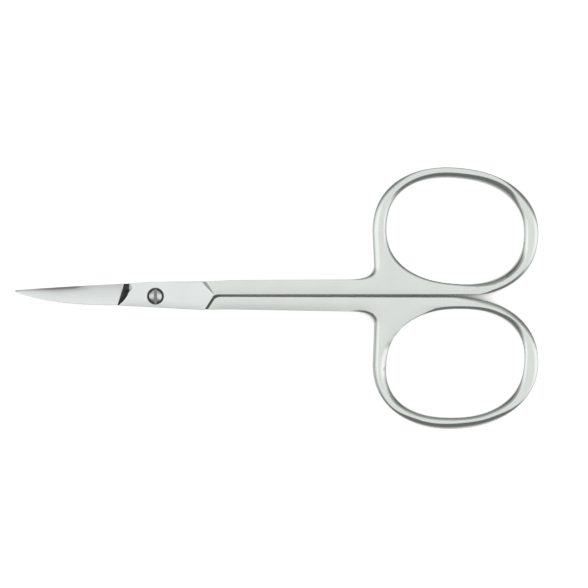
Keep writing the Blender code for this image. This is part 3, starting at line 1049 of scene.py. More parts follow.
@dataclass(frozen=True)
class Handle:
    """Shank, web, ring and plate of a half, in one body of two layers.

    Attributes:
        facing_spine: The spine side of the other half's plate, which the shoulder faces.
        lean_w: How much the inner face drops for each millimetre from the slit.
        far_slit_flank: The width of the flank where the ring leaves the slit.
        corner_flank: The width and steepness the flank bends towards in the web's corner.
        lean_fades: How much of the thickening's length before it the lean begins to fade.
        slices_along: The first row across the faces, the rows' distance and their number.
        slices_near: The same for the rows along the shank.
        slices_far: The same for the rows along the ring.
        tidy_reach: The distance under which points of the flat faces are merged.
    """

    ring: FingerRing
    plate: JointPlate
    width_at_joint: float
    width: float
    width_at_web: float
    facing_spine: float
    lean_w: float = 0.0
    slit: float = 0.15
    slit_flank: float = 0.05
    far_slit_flank: float = 0.05
    corner_flank: Pair = (0.55, 0.5)
    shank_flank: float = 0.03
    shoulder_gap: float = 0.45
    joint_edge_u: float = 9.6
    shank_start_u: float = 12.8
    web_side_lean: float = 0.28
    fillet_along: float = 4.2
    fillet_across: float = 2.4
    thickening_start: float = 34.0
    thickening_end: float = 44.0
    shank_thickness: float = 2.6
    ring_thickness: float = 3.0
    middle_w: float = 0.15
    lean_reach: float = 2.5
    lean_fades: float = 0.3
    fillet_steps: int = 14
    longest_edge: float = 0.9
    slices_along: Series = (7.8, 0.9, 43)
    slices_near: Series = (0.55, 0.42, 5)
    slices_far: Series = (3.2, 1.0, 8)
    tidy_reach: float = 0.04

    def face_height(self, u: float, v: float, face: Face) -> float:
        """The flat face's distance from the middle plane at a place in plan.

        Args:
            u: The place along the scissors.
            v: The place across them.
            face: Which of the two faces.

        Returns:
            The distance.
        """
        share = (u - self.thickening_start) / (self.thickening_end - self.thickening_start)
        swell = (self.ring_thickness - self.shank_thickness) / 2
        lean = self.lean_w * min(v, self.lean_reach) * (1 - eased(share + self.lean_fades))
        level = self.shank_thickness / 2 + swell * eased(share)
        return level - (lean if face is Face.INNER else 0.0)

    def _shared_rims(self) -> list[Rim]:
        """The outline that both layers share.

        Returns:
            The rims: slit, ring, web and shank, back to the joint.
        """
        band = self.ring.band_rims(self.slit, self.far_slit_flank)
        edge_v = self.slit + self.width_at_web
        side_u = band[-1].u + self.web_side_lean
        fillet = bow(
            band[-1].towards(band[-1], 0, Vector((side_u, edge_v + self.fillet_across))),
            Rim(side_u, edge_v, *self.corner_flank),
            Rim(side_u - self.fillet_along, edge_v, self.shank_flank),
            self.fillet_steps,
        )
        rims = [
            Rim(self._slit_start(), self.slit, self.slit_flank),
            *band,
            *fillet,
            Rim(self.shank_start_u, self.slit + self.width, self.shank_flank),
            Rim(self.joint_edge_u, self.slit + self.width_at_joint, self.shank_flank),
        ]
        return divided(rims, self.longest_edge)

    def _shoulder_u(self, v: float) -> float:
        """Where the shoulder stands.

        Args:
            v: The place across the scissors.

        Returns:
            The place along them.
        """
        slant = math.hypot(self.plate.end_lean, self.facing_spine) / self.facing_spine
        lean = self.plate.end_lean * (1 - v / self.facing_spine)
        return self.plate.end_u + lean + self.shoulder_gap * slant

    def _slit_start(self) -> float:
        """Where the straight part of the slit begins, past the shoulder's rounded corner."""
        return self._shoulder_u(self.slit) + self.plate.fillet_along

    def _shoulder_rims(self) -> list[Rim]:
        """The end of the inner layer.

        Returns:
            The rims, from the shank's edge down to the slit.
        """
        top, near = self.slit + self.width_at_joint, self.slit + self.plate.fillet_up
        flank = self.plate.flank
        start = Rim(self._shoulder_u(near), near, flank)
        end = Rim(self._slit_start(), self.slit, self.slit_flank)
        corner = start.towards(end, 0.5, Vector((self._shoulder_u(self.slit), self.slit)))
        turn = bow(start, corner, end, self.plate.corner_steps)
        return [Rim(self._shoulder_u(top), top, flank), *turn[:-1]]

    def _border_height(self, face: Face) -> Callable[[float, float], float]:
        """The height of a flat face's border, as a function of the place in plan."""
        return lambda u, v: self.face_height(u, v, face) - FACE_CROWN.drop

    def body(self, name: str) -> bpy.types.Object:
        """Model the two layers, whose outlines differ only at the joint, and the opening.

        Args:
            name: The object's name.

        Returns:
            The closed body, in the half's plan.
        """
        plate_end = divided(self.plate.rims(self.slit, self.slit_flank), self.longest_edge)
        shoulder = divided(self._shoulder_rims(), self.longest_edge)
        shared = self._shared_rims()
        outlines = {Face.OUTER: shared + plate_end, Face.INNER: shared + shoulder}
        opening = self.ring.opening_rims()
        walls = [(face, rims, self.middle_w) for face, rims in outlines.items()]
        walls += [(face, opening, 0.0) for face in Face]
        loops: dict[Face, list[list[int]]] = {face: [] for face in Face}
        borders: dict[Face, list[list[Vector]]] = {face: [] for face in Face}
        shell: Shell | None = None
        equator: list[int] | None = None
        for face, rims, start_w in walls:
            start = [Vector((rim.u, rim.v, start_w)) for rim in rims]
            if shell is None:
                shell = Shell(name, start)
            elif equator is None:
                shell.add_loop(start)
            else:
                shell.loop = equator
            if rims is opening:
                equator = shell.loop
            rows = Flank().rows(rims, start_w, self._border_height(face), face)
            loops[face].append(shell.grow(*rows))
            borders[face].append(rows[-1])
        for face in Face:
            shell.cap(*loops[face])
        shell.close_seams()
        shell.slice(ALONG, spaced(*self.slices_along))
        shell.slice(ACROSS, spaced(*self.slices_near) + spaced(*self.slices_far))
        shell.tidy_caps(self.tidy_reach)

        def height(point: Vector, face: Face) -> float:
            """The crowned face's distance from the middle plane."""
            sink = max(FACE_CROWN.sink(point, border) for border in borders[face])
            return self.face_height(point.x, point.y, face) - sink

        shell.crown(height)
        return shell.done()


@dataclass(frozen=True)
class Half:
    """One half of the scissors: handle with its plate, pad, ramp, blade and screw hole.

    Attributes:
        name: The CAD node that the piece replaces.
        cad_body: The CAD body it rides on.
        turned: Whether it lies turned half round about the long axis.
        hole_start: The height where the hole's cutter starts, under the whole half.
        bore_over: How far the cutters of hole and recess stand out of the face.
        sharp_angle: The angle in degrees from which an edge is shaded sharp.
        joint_u: How far the dark end, unpolished and with painted shade, reaches before and behind
            the plate's end.
        joint_w: How far from the shank's faces it stays, and from the middle loop it reaches.
        pad_past_end: How far past the plate's end a face may still be the pad's.
        recess_under: How far below the pad a flat face in the recess lies at least.
        blade_least_w: The height over which a slope in front of the pad is the ramp's.
        flat_facing: How far up or down a flat face's normal points at least.
        wall_facing: How far up or down a wall's normal points at most.
        bevel_facing: How far the bevel's normal points to the edge's side and up at least.
        slope_facing: How far the ramp's and crest's normal points to the blade at least.
        crest_facing: How far the crest's normal does so at most.
    """

    name: str
    cad_body: str
    handle: Handle
    blade: Blade
    turned: bool
    head_recess: bool
    joint_height: float = 1.5
    slit_y: float = 0.14
    hole_radius: float = 0.85
    recess_radius: float = 1.39
    recess_depth: float = 0.85
    recess_chamfer: float = 0.08
    recess_under: float = 0.3
    hole_start: float = -2.0
    bore_over: float = 1.0
    bore_steps: int = 96
    sharp_angle: float = 24.0
    joint_u: Pair = (0.3, 1.2)
    joint_w: Pair = (0.15, 0.3)
    pad_past_end: float = 2.0
    blade_least_w: float = 0.4
    flat_facing: float = 0.9
    wall_facing: float = 0.5
    bevel_facing: Pair = (0.4, 0.2)
    slope_facing: float = 0.2
    crest_facing: float = 0.6

    @property
    def pivot_v(self) -> float:
        """Where the pivot lies across the half's plan."""
        return self.slit_y if self.turned else -self.slit_y

    def build(self, finishes: Sequence[bpy.types.Material]) -> bpy.types.Object:
        """Model the half, dress it and put it in the frame.

        Args:
            finishes: One material for each patch, in the order of Patch.

        Returns:
            The finished piece.
        """
        piece = self.handle.body(self.name + "_forging")
        low = self.handle.shank_thickness / 2
        plate = self.handle.plate
        combine(piece, plate.pad("pad", low, self.joint_height), Join.ADD)
        combine(piece, plate.ramp("ramp", self.blade, self.joint_height), Join.CUT)
        combine(piece, self.blade.body("blade"), Join.ADD)
        combine(piece, self._bore("hole", self.hole_radius, self.hole_start, 0.0), Join.CUT)
        if self.head_recess:
            floor = self.joint_height - self.recess_depth
            recess = self._bore("recess", self.recess_radius, floor, self.recess_chamfer)
            combine(piece, recess, Join.CUT)
        self._dress(piece, finishes)
        finish_shading(piece, self.sharp_angle)
        put_in_place(piece, Vector((0, self.slit_y, self.joint_height)), self.turned)
        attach(piece, self.cad_body)
        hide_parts(self.name)
        return piece

    def _bore(self, name: str, radius: float, floor: float, chamfer: float) -> bpy.types.Object:
        """Model a round cutter on the pivot's axis, flared where it leaves the face.

        Args:
            name: The helper object's name.
            radius: Its radius.
            floor: The height where it starts.
            chamfer: The width of the flare at the outer face.

        Returns:
            The closed cutter, in the half's plan.
        """
        flare, top = radius + chamfer, self.joint_height
        profile = [(radius, floor), (radius, top - chamfer), (flare, top)]
        profile.append((flare, top + self.bore_over))
        turns = [math.tau * i / self.bore_steps for i in range(self.bore_steps)]
        rows = [
            [Vector((r * math.cos(turn), self.pivot_v + r * math.sin(turn), w)) for turn in turns]
            for r, w in profile
        ]
        shell = Shell(name, rows[0])
        shell.close(shell.loop, shell.grow(*rows[1:]))
        return shell.done()

    def _in_gap(self, face: bpy.types.MeshPolygon) -> bool:
        """Whether a face takes the dark finish on the joint's inner side or at its end: unpolished,
        and darker still as painted shade.

        Args:
            face: The face.

        Returns:
            Whether it is.
        """
        plate, centre, upright = self.handle.plate, face.center, abs(face.normal.z)
        (before, behind), (below, beside) = self.joint_u, self.joint_w
        end = plate.end_u - before < centre.x < plate.end_u + plate.end_lean + behind
        inside = abs(centre.z) < self.handle.shank_thickness / 2 - below
        wall = inside and upright < self.wall_facing
        level = abs(centre.z - self.handle.middle_w) < beside
        return (end and wall) or (level and (end or upright > self.flat_facing))

    def _in_recess(self, face: bpy.types.MeshPolygon) -> bool:
        """Whether a face lies in the round recess or the hole.

        Args:
            face: The face.

        Returns:
            Whether it does.
        """
        radius = math.hypot(face.center.x, face.center.y - self.pivot_v)
        deep = face.center.z < self.joint_height - self.recess_under
        inside = radius < self.recess_radius + self.recess_chamfer
        return inside and (deep or abs(face.normal.z) < self.flat_facing)

    def _patch(self, face: bpy.types.MeshPolygon) -> Patch:
        """Find a face's finish.

        Args:
            face: The face.

        Returns:
            The finish's patch.
        """
        plate, centre, normal = self.handle.plate, face.center, face.normal
        head_u = plate.ramp_head_u(centre.y)
        # The recess and the hole take the dark finish: unpolished steel with painted shade.
        if self._in_recess(face):
            return Patch.SCALE
        if centre.x < plate.ramp_foot_u(centre.y):
            sideways, up = self.bevel_facing
            return Patch.BEVEL if normal.y > sideways and normal.z > up else Patch.BLADE
        slope = normal.x < -self.slope_facing
        if centre.x < head_u and centre.z > self.blade_least_w and slope:
            return Patch.RAMP
        if centre.x < head_u + plate.crest_width and slope and normal.x > -self.crest_facing:
            return Patch.BEVEL
        raised = centre.z > self.handle.shank_thickness / 2
        if raised and centre.x < plate.end_u + self.pad_past_end:
            return Patch.PAD
        return Patch.SCALE if self._in_gap(face) else Patch.HANDLE

    def _dress(self, piece: bpy.types.Object, finishes: Sequence[bpy.types.Material]) -> None:
        """Give each face its finish, and each point its place across the blade.

        Args:
            piece: The half, in its own plan.
            finishes: One material for each patch, in the order of Patch.
        """
        mesh = piece.data
        mesh.materials.clear()
        for material in finishes:
            mesh.materials.append(material)
        for face in mesh.polygons:
            face.material_index = self._patch(face).value
        across = mesh.attributes.new("across", "FLOAT", "POINT")
        shares = []
        for vert in mesh.vertices:
            edge, spine = self.blade.limits(vert.co.x)
            shares.append(min(max((edge - vert.co.y) / (edge - spine), 0.0), 1.0))
        across.data.foreach_set("value", shares)


@dataclass(frozen=True)
class PivotScrew:
    """The slotted screw: a low domed head on a shank whose end lies flush below.

    Attributes:
        seat: The height of the head's underside.
        dome_power: The exponent of the dome's fall towards the rim.
        end_facing: How far up or down the normal of the head's ends points at least.
        slot_skin: How far below the dome a face in the slot lies at least.
        near: The distance under which two places count as one.
        sharp_angle: The angle in degrees from which an edge is shaded sharp.
    """

    head_radius: float = 1.25
    seat: float = 2.3
    head_height: float = 0.45
    dome: float = 0.25
    dome_power: float = 2.5
    shank_radius: float = 0.75
    end_chamfer: float = 0.1
    slot_width: float = 0.5
    slot_depth: float = 0.35
    slot_round: float = 0.08
    slot_skin: float = 0.05
    rim_width: float = 0.3
    rim_bevel: float = 0.22
    dome_rings: int = 7
    sides: int = 96
    round_steps: int = 4
    end_facing: float = 0.99
    near: float = 1e-3
    sharp_angle: float = 30.0

    def build(
        self, finish: bpy.types.Material, slot_shade_finish: bpy.types.Material
    ) -> bpy.types.Object:
        """Model the screw, dress it and put it in the frame.

        Args:
            finish: The screw's material.
            slot_shade_finish: The material of the sawn slot, darkened as painted shade.

        Returns:
            The finished piece.
        """
        deselect_all()
        bpy.ops.mesh.primitive_cylinder_add(
            vertices=self.sides,
            radius=self.head_radius,
            depth=self.head_height,
            location=(0, 0, self.seat + self.head_height / 2),
        )
        piece = bpy.context.object
        piece.name = piece.data.name = "pivot_screw_turned"
        bpy.ops.object.transform_apply(location=True, rotation=False, scale=False)
        bpy.ops.object.mode_set(mode="EDIT")
        self._draw_dome(piece)
        self._draw_shank(piece)
        bpy.ops.object.mode_set(mode="OBJECT")
        combine(piece, self._slot_cutter(), Join.CUT)
        piece.data.materials.clear()
        piece.data.materials.append(finish)
        piece.data.materials.append(slot_shade_finish)
        # The slot's faces take the darker material: painted shade inside the slot, on a rough sawn
        # finish.
        for face in piece.data.polygons:
            radius = face.center.xy.length / self.head_radius
            skin = self.seat + self.head_height + self.dome * (1 - radius**self.dome_power)
            under = self.seat < face.center.z < skin - self.slot_skin
            in_slot = under and abs(face.center.x) < self.slot_width / 2 + self.near
            face.material_index = int(in_slot)
        finish_shading(piece, self.sharp_angle)
        put_in_place(piece, Vector((0, 0, 0)))
        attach(piece, "rear")
        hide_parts("pivot_screw")
        return piece

    def _pick_end(self, piece: bpy.types.Object, up: bool) -> None:
        """Select the flat end face of the head.

        Args:
            piece: The screw, in edit mode.
            up: Whether the upper end is meant.
        """
        bpy.ops.mesh.select_mode(type="FACE")
        sign = 1 if up else -1
        pick_where(piece.data, Part.FACES, lambda face: face.normal.z * sign > self.end_facing)

    def _draw_dome(self, piece: bpy.types.Object) -> None:
        """Inset the head's top ring by ring and lift each ring onto the dome.

        Args:
            piece: The screw, in edit mode.
        """
        self._pick_end(piece, up=True)
        step = (self.head_radius - self.rim_width) / (self.dome_rings + 0.5)
        reached = 0.0
        for ring in range(self.dome_rings + 1):
            width = step if ring else self.rim_width
            before, after = (1 - r / self.head_radius for r in (reached, reached + width))
            bpy.ops.mesh.inset(thickness=width, depth=0.0)
            lift = self.dome * (before**self.dome_power - after**self.dome_power)
            bpy.ops.transform.translate(value=(0, 0, lift))
            reached += width
        rim = self.seat + self.head_height

        def on_rim(edge: bmesh.types.BMEdge) -> bool:
            """Whether an edge is part of the rim round the head's side."""
            away = (abs(v.co.z - rim) + self.head_radius - v.co.xy.length for v in edge.verts)
            return max(away) < self.near

        pick_where(piece.data, Part.EDGES, on_rim)
        bpy.ops.mesh.bevel(offset=self.rim_bevel, segments=self.round_steps, affect="EDGES")

    def _draw_shank(self, piece: bpy.types.Object) -> None:
        """Inset the head's underside and extrude the shank down to its chamfered end.

        Args:
            piece: The screw, in edit mode.
        """
        self._pick_end(piece, up=False)
        bpy.ops.mesh.inset(thickness=self.head_radius - self.shank_radius, depth=0.0)
        for fall in (self.seat - self.end_chamfer, self.end_chamfer):
            bpy.ops.mesh.extrude_region_move(TRANSFORM_OT_translate={"value": (0, 0, -fall)})
        end = 1 - self.end_chamfer / self.shank_radius
        bpy.ops.transform.resize(value=(end, end, 1), center_override=(0, 0, 0))

    def _slot_cutter(self) -> bpy.types.Object:
        """Model the cutter of the slot, its lower edges rounded like a worn saw's.

        Returns:
            The closed cutter, in place.
        """
        deselect_all()
        floor = self.seat + self.head_height + self.dome - self.slot_depth
        bpy.ops.mesh.primitive_cube_add(size=1.0, location=(0, 0, floor + 0.5))
        cutter = bpy.context.object
        bpy.ops.object.mode_set(mode="EDIT")
        bpy.ops.transform.resize(
            value=(self.slot_width, 4 * self.head_radius, 1), center_override=(0, 0, floor + 0.5)
        )

        def lower_side(edge: bmesh.types.BMEdge) -> bool:
            """Whether an edge runs along the cutter, at its floor."""
            first, second = (vert.co for vert in edge.verts)
            return max(first.z, second.z) < 0 and abs(first.x - second.x) < self.near

        pick_where(cutter.data, Part.EDGES, lower_side)
        bpy.ops.mesh.bevel(offset=self.slot_round, segments=self.round_steps, affect="EDGES")
        bpy.ops.object.mode_set(mode="OBJECT")
        bpy.ops.object.transform_apply(location=True, rotation=False, scale=False)
        return cutter


@dataclass(frozen=True)
class Signal:
    """A node's output socket, on which arithmetic adds Math nodes."""

    graph: "Graph"
    socket: bpy.types.NodeSocket

    def output(self, name: str) -> "Signal":
        """Another output of the same node."""
        return Signal(self.graph, self.socket.node.outputs[name])

    def _maths(self, operation: str, *values: "Signal | float") -> "Signal":
        """Put the values through one Math node."""
        return self.graph.node("ShaderNodeMath", {"operation": operation}, dict(enumerate(values)))

    def __add__(self, other: "Signal | float") -> "Signal":
        """This plus another."""
        return self._maths("ADD", self, other)

    __radd__ = __add__

    def __sub__(self, other: "Signal | float") -> "Signal":
        """This less another."""
        return self._maths("SUBTRACT", self, other)

    def __rsub__(self, other: float) -> "Signal":
        """A number less this."""
        return self._maths("SUBTRACT", other, self)

    def __mul__(self, other: "Signal | float") -> "Signal":
        """This times another."""
        return self._maths("MULTIPLY", self, other)

    __rmul__ = __mul__

    def __truediv__(self, other: "Signal | float") -> "Signal":
        """This divided by another."""
        return self._maths("DIVIDE", self, other)

    def eased(self, low: float, high: float) -> "Signal":
        """A smooth rise from 0 to 1.

        Args:
            low: The value up to which it is 0.
            high: The value from which it is 1.

        Returns:
            The risen signal.
        """
        settings = {"interpolation_type": "SMOOTHSTEP"}
        inputs = {"Value": self, "From Min": low, "From Max": high}
        return self.graph.node("ShaderNodeMapRange", settings, inputs)


class Graph:
    """A node tree that is filled node by node."""

    def __init__(self, tree: bpy.types.NodeTree) -> None:
        """Take a node tree and empty it."""
        self.tree = tree
        tree.nodes.clear()

    def node(
        self,
        kind: str,
        settings: dict[str, object] | None = None,
        inputs: dict[str | int, object] | None = None,
        output: str | int = 0,
    ) -> Signal:
        """Add a node.

        Args:
            kind: The node's type.
            settings: Its properties, set before its sockets.
            inputs: Values or signals for its sockets, by name or number.
            output: Which output to return.

        Returns:
            The output as a signal.
        """
        node = self.tree.nodes.new(kind)
        for name, value in (settings or {}).items():
            setattr(node, name, value)
        for name, value in (inputs or {}).items():
            if isinstance(value, Signal):
                self.tree.links.new(value.socket, node.inputs[name])
            else:
                node.inputs[name].default_value = value
        return Signal(self, node.outputs[output]) if node.outputs else Signal(self, None)

    def blend(self, share: Signal, first: object, second: object) -> Signal:
        """A colour between two, by a share."""
        inputs = {0: share, 6: first, 7: second}
        return self.node("ShaderNodeMix", {"data_type": "RGBA"}, inputs, 2)


@dataclass(frozen=True)
class Steel:
    """Stainless steel, polished or ground: fine lines, faint clouds and a little waviness.

    Attributes:
        name: The material's name.
        colour: The reflection's colour.
        roughness: The mean roughness.
        cloud: How much the colour varies from place to place.
        line_size: The lines' length and width in millimetres.
        cloud_scale: How many clouds there are to a metre.
        wave_scale: How many waves there are to a metre.
        line_depth: The lines' depth in micrometres.
        wave_depth: The waviness's depth in micrometres.
        streaks: How much the fine lines vary the colour.
        painted_spine_light: Painted light, a blade's colour brighter at its spine than at its edge.
        painted_light_range: Between which shares of its width, from the edge, that painted light
            comes in.
        noise_range: Between which values the noise goes from dull to bright.
        uneven: The share of the roughness that is even, and what clouds and lines add.
    """

    name: str
    colour: tuple[float, float, float]
    roughness: float
    cloud: float = 0.03
    line_size: Pair = (6.0, 0.06)
    line_depth: float = 0.25
    wave_depth: float = 1.2
    streaks: float = 0.02
    painted_spine_light: float = 0.0
    cloud_scale: float = 260.0
    wave_scale: float = 420.0
    painted_light_range: Pair = (-0.3, 1.2)
    noise_range: Pair = (0.3, 0.7)
    uneven: tuple[float, float, float] = (0.8, 0.25, 0.15)

    def build(self) -> bpy.types.Material:
        """Make the material's nodes.

        Returns:
            The material.
        """
        material = bpy.data.materials.new(self.name)
        material.use_nodes = True
        graph = Graph(material.node_tree)
        place = graph.node("ShaderNodeTexCoord", output="Object")
        long, wide = self.line_size
        stretch = (1 / (long * MM), 1 / (wide * MM), 1 / (wide * MM))
        lined = graph.node("ShaderNodeMapping", None, {"Vector": place, "Scale": stretch})

        def noise(where: Signal, scale: float, detail: float) -> Signal:
            """A noise laid out by a place."""
            inputs = {"Vector": where, "Scale": scale, "Detail": detail}
            return graph.node("ShaderNodeTexNoise", None, inputs, "Fac")

        lines, clouds = noise(lined, 1.0, 3.0), noise(place, self.cloud_scale, 3.0)
        waves = noise(place, self.wave_scale, 1.0)
        dull = tuple(c * (1 - self.cloud - self.streaks) for c in self.colour)
        weight = self.cloud / (self.cloud + self.streaks)
        mottle = clouds.eased(*self.noise_range) * weight
        mottle = mottle + lines.eased(*self.noise_range) * (1 - weight)
        colour = graph.blend(mottle, (*dull, 1.0), (*self.colour, 1.0))
        # Painted light: the blade is coloured darker at its edge and lighter towards its spine.
        if self.painted_spine_light:
            settings = {"attribute_name": "across"}
            across = graph.node("ShaderNodeAttribute", settings, output="Fac")
            dark = (1.0 - self.painted_spine_light,) * 3 + (1.0,)
            shade = graph.blend(across.eased(*self.painted_light_range), dark, (1.0, 1.0, 1.0, 1.0))
            colour = graph.node(
                "ShaderNodeMix", {"data_type": "RGBA", "blend_type": "MULTIPLY"},
                {0: 1.0, 6: colour, 7: shade}, 2,
            )
        even, by_clouds, by_lines = self.uneven
        rough = self.roughness * (even + by_clouds * clouds + by_lines * lines)
        height = waves * self.wave_depth + lines * self.line_depth
        relief = graph.node("ShaderNodeBump", None, {"Height": height, "Distance": MICROMETRE})
        inputs = {"Base Color": colour, "Roughness": rough, "Metallic": 1.0, "Normal": relief}
        shader = graph.node("ShaderNodeBsdfPrincipled", None, inputs)
        graph.node("ShaderNodeOutputMaterial", None, {"Surface": shader})
        return material


@dataclass(frozen=True)
class Studio:
    """A white table under a soft overhead light, seen from straight above.

    Attributes:
        view_centre: The middle of the view, in metres.
        view_width: The width of the view, in metres.
        table_size: The table's side, in metres.
        table_drop: How far below the scissors it lies, in metres.
        shadow_range: The shares of open sky between which the table's glow rises.
        dome: The light's level overhead.
        panels: What is added to it at both sides.
        panels_up: How high the panels begin and end, as parts of the way up.
        horizon: The share of the level that is left low down.
        back_from: How far back the darkening begins and ends.
        corner_from: The same for the back's two corners, backwards and to the side.
        front_from: The same for the front.
        front_low: What is left of the front's darkening low down.
        front_light: How much of it the front's right corner lacks.
        poles: Keeps the division by the level part of a direction from failing overhead.
    """

    view_centre: Pair = (0.02382, 0.00038)
    view_width: float = 0.1011
    camera_height: float = 0.4
    table_size: float = 4.0
    table_colour: float = 0.8
    table_glow: float = 0.72
    table_drop: float = 2e-5
    shadow_reach: float = 0.006
    shadow_range: Pair = (0.04, 0.45)
    dome: float = 0.97
    panels: float = 0.28
    panels_up: tuple[Pair, ...] = ((0.55, 0.8), (0.955, 0.992))
    horizon: float = 0.5
    horizon_up: Pair = (0.2, 0.5)
    mirrored_glow: float = 0.25
    back_dark: float = 0.62
    back_from: Pair = (0.28, 0.74)
    corner_dark: float = 0.6
    corner_from: tuple[Pair, ...] = ((0.1, 0.35), (0.12, 0.45))
    front_dark: float = 0.82
    front_from: Pair = (0.02, 0.42)
    front_low: float = 0.3
    front_up: Pair = (0.15, 0.45)
    front_light: float = 0.85
    front_right: tuple[Pair, ...] = ((0.42, 0.78), (0.0, 0.12))
    poles: float = 1.0001

    def build(self) -> None:
        """Make the camera, the world and the table."""
        self._camera()
        self._world()
        self._table()
        bpy.context.scene.view_settings.view_transform = "Standard"

    def _camera(self) -> None:
        """Put the camera above the scissors."""
        data = bpy.data.cameras.new("camera")
        data.type = "ORTHO"
        data.ortho_scale = self.view_width
        data.clip_start = 0.01
        camera = bpy.data.objects.new("camera", data)
        camera.location = (*self.view_centre, self.camera_height)
        bpy.context.scene.collection.objects.link(camera)
        bpy.context.scene.camera = camera

    def _world(self) -> None:
        """A soft dome, grey low down, darker in front, brighter to both sides."""
        world = bpy.data.worlds.new("studio")
        world.use_nodes = True
        bpy.context.scene.world = world
        graph = Graph(world.node_tree)
        towards = graph.node("ShaderNodeTexCoord", output="Generated")
        split = graph.node("ShaderNodeSeparateXYZ", None, {0: towards})
        across, along, up = (split.output(axis) for axis in "XYZ")
        beside = across * across / (self.poles - up * up)
        low, high = self.panels_up
        panels = beside * (1.0 - up.eased(*high)) * up.eased(*low)
        level = self.dome + self.panels * panels
        level = level * (self.horizon + (1.0 - self.horizon) * up.eased(*self.horizon_up))
        level = level * (1.0 - self.back_dark * along.eased(*self.back_from))
        back, side = self.corner_from
        level = level * (1.0 - self.corner_dark * (along.eased(*back) * beside.eased(*side)))
        side, right = self.front_right
        front = (along * -1.0).eased(*self.front_from)
        front = front * (1.0 - self.front_light * beside.eased(*side) * across.eased(*right))
        rise = self.front_low + (1.0 - self.front_low) * up.eased(*self.front_up)
        level = level * (1.0 - self.front_dark * front * rise)
        seen = graph.node("ShaderNodeLightPath", output="Is Camera Ray")
        strength = level + seen * (1.0 - level)
        inputs = {"Color": (1.0, 1.0, 1.0, 1.0), "Strength": strength}
        shown = graph.node("ShaderNodeBackground", None, inputs)
        graph.node("ShaderNodeOutputWorld", None, {"Surface": shown})

    def _table(self) -> None:
        """A white table top that keeps the soft shadow."""
        deselect_all()
        below = (0, 0, -self.table_drop)
        bpy.ops.mesh.primitive_plane_add(size=self.table_size, location=below)
        table = bpy.context.object
        table.name = "table"
        bpy.ops.object.transform_apply(location=True, rotation=False, scale=False)
        material = bpy.data.materials.new("table_white")
        material.use_nodes = True
        graph = Graph(material.node_tree)
        seen = graph.node("ShaderNodeLightPath", output="Is Camera Ray")
        white = (self.table_colour,) * 3 + (1.0,)
        open_sky = graph.node(
            "ShaderNodeAmbientOcclusion", {"samples": 8}, {"Distance": self.shadow_reach}, "AO"
        )
        glow = seen * self.table_glow + seen.output("Is Glossy Ray") * self.mirrored_glow
        glow = glow * open_sky.eased(*self.shadow_range)
        paper = graph.node("ShaderNodeBsdfDiffuse", None, {"Color": white})
        glowing = graph.node("ShaderNodeEmission", None, {"Strength": glow})
        both = graph.node("ShaderNodeAddShader", None, {0: paper, 1: glowing})
        graph.node("ShaderNodeOutputMaterial", None, {"Surface": both})
        table.data.materials.append(material)


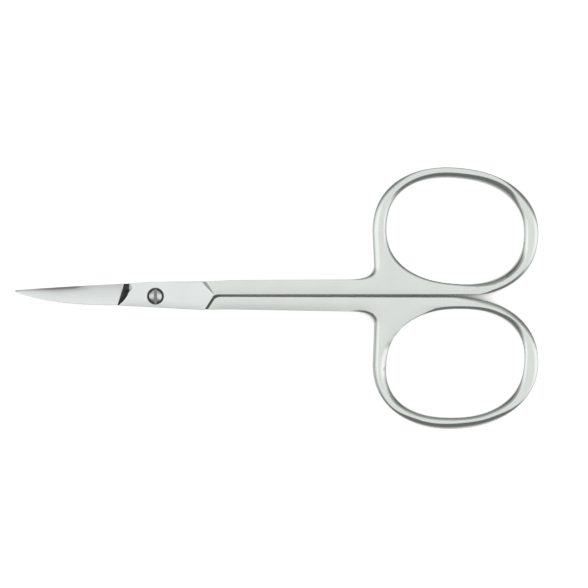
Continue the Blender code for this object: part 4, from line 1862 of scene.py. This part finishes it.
@dataclass
class Scissors:
    """The two halves and the screw that holds them."""

    handle_steel: Steel = Steel("satin_steel", (0.75, 0.79, 0.76), 0.2)
    pad_steel: Steel = Steel("polished_steel", (0.80, 0.84, 0.83), 0.13)
    # The blade's colour carries painted light, lighter towards the spine than at the edge.
    blade_steel: Steel = Steel(
        "blade_steel", (0.84, 0.87, 0.865), 0.16, painted_spine_light=0.26, streaks=0.05
    )
    # The ramp's near-black colour is a painted dark reflection; its roughness and lines are those
    # of grinding.
    ramp_painted_dark_steel: Steel = Steel("ramp_painted_dark_reflection", (0.08, 0.085, 0.08), 0.35, line_depth=0.8)
    # Honed bevel and crest, rough as honing leaves them; their darker colour is partly a painted
    # shadow line along the edge.
    honed_and_shaded_steel: Steel = Steel("honed_steel_painted_shadow", (0.52, 0.54, 0.53), 0.3, line_depth=0.6)
    # Unpolished steel whose dark colour is also painted shade in the joint's gap and the recess.
    scale_and_shade_steel: Steel = Steel("unpolished_steel_painted_shade", (0.27, 0.27, 0.26), 0.45, line_depth=0.0)
    screw_steel: Steel = Steel("turned_screw_steel", (0.66, 0.68, 0.67), 0.24, wave_depth=0.6)
    # The sawn slot's rough finish, its dark colour painted shade inside the slot.
    slot_shade_steel: Steel = Steel("sawn_slot_painted_shade", (0.3, 0.31, 0.3), 0.4, wave_depth=0.6)
    front: Half = field(
        default_factory=lambda: Half(
            name="front_half",
            cad_body="front",
            turned=False,
            head_recess=True,
            handle=Handle(
                ring=FingerRing(
                    v=11.08, width=18.1, tilt=5.5, lean=0.026, band_far=1.8, band_near=2.1,
                    band_fullness=2.2, band_tilt=6.0,
                    opening_flank=Spread(
                        (
                            (-90, 0.35, 0.55), (-50, 1.05, 0.65), (-20, 1.1, 0.65),
                            (5, 0.8, 0.42), (26, 0.75, 0.45), (50, 1.3, 0.62), (90, 1.0, 0.6),
                            (140, 0.7, 0.55), (180, 0.55, 0.55), (225, 0.5, 0.5),
                        )
                    ),
                    band_flank=Spread(
                        (
                            (-60, 0.5, 0.5), (-30, 0.55, 0.5), (0, 0.7, 0.25), (40, 0.75, 0.55),
                            (70, 0.2, 0.4), (110, 0.2, 0.4), (145, 0.7, 0.4), (180, 1.05, 0.4),
                            (250, 0.3, 0.4),
                        )
                    ),
                ),
                plate=JointPlate(edge=2.33, edge_at_blade=1.98, spine=2.5, spine_at_blade=1.7),
                width_at_joint=2.27, width=2.5, width_at_web=2.59, facing_spine=2.4,
                slit_flank=0.04, far_slit_flank=0.08,
            ),
            blade=Blade(tip_v=0.7, edge=1.96, spine=1.66, spine_fullness=2.8),
        )
    )
    rear: Half = field(
        default_factory=lambda: Half(
            name="rear_half",
            cad_body="rear",
            turned=True,
            head_recess=False,
            handle=Handle(
                ring=FingerRing(
                    v=11.68, width=18.64, tilt=0.0, lean=0.078, band_far=1.92, band_near=1.88,
                    band_fullness=2.13, band_tilt=5.0,
                    opening_flank=Spread(
                        (
                            (-90, 0.55, 0.5), (-60, 0.75, 0.55), (-40, 1.0, 0.55),
                            (0, 0.55, 0.4), (35, 0.9, 0.55), (60, 0.75, 0.55), (90, 0.65, 0.55),
                            (140, 0.85, 0.55), (160, 0.8, 0.45), (175, 1.05, 0.36),
                            (190, 1.0, 0.22), (204, 0.6, 0.08), (217, 0.14, 0.08),
                            (226, 0.12, 0.3), (238, 0.12, 0.4), (256, 0.55, 0.5),
                        )
                    ),
                    band_flank=Spread(
                        (
                            (-60, 0.95, 0.4), (-30, 0.75, 0.5), (0, 0.8, 0.22), (40, 0.3, 0.3),
                            (70, 0.85, 0.6), (90, 1.0, 0.62), (120, 0.85, 0.55),
                            (145, 0.4, 0.5), (180, 0.9, 0.75), (250, 0.3, 0.4),
                        )
                    ),
                ),
                plate=JointPlate(edge=1.9, edge_at_blade=1.5, spine=2.4, spine_at_blade=1.96),
                width_at_joint=2.23, width=2.2, width_at_web=2.56, facing_spine=2.5,
                lean_w=0.032, slit=0.2, slit_flank=0.1, far_slit_flank=0.28,
                corner_flank=(0.8, 0.65),
            ),
            blade=Blade(tip_v=-0.7, edge=1.44, spine=1.9, spine_fullness=1.2),
        )
    )
    screw: PivotScrew = PivotScrew()

    def build(self) -> list[bpy.types.Object]:
        """Model and dress the pieces in order.

        Returns:
            The finished pieces.
        """
        steels = (
            self.handle_steel, self.pad_steel, self.blade_steel,
            self.ramp_painted_dark_steel, self.honed_and_shaded_steel, self.scale_and_shade_steel,
        )
        finishes = [steel.build() for steel in steels]
        pieces = [half.build(finishes) for half in (self.front, self.rear)]
        pieces.append(self.screw.build(self.screw_steel.build(), self.slot_shade_steel.build()))
        return pieces


def main() -> None:
    """Build the scissors and the studio."""
    logging.basicConfig(level=logging.INFO, format="%(name)s: %(message)s")
    for piece in Scissors().build():
        log.info("%s: %d faces", piece.name, len(piece.data.polygons))
    Studio().build()


if __name__ == "__main__":
    main()
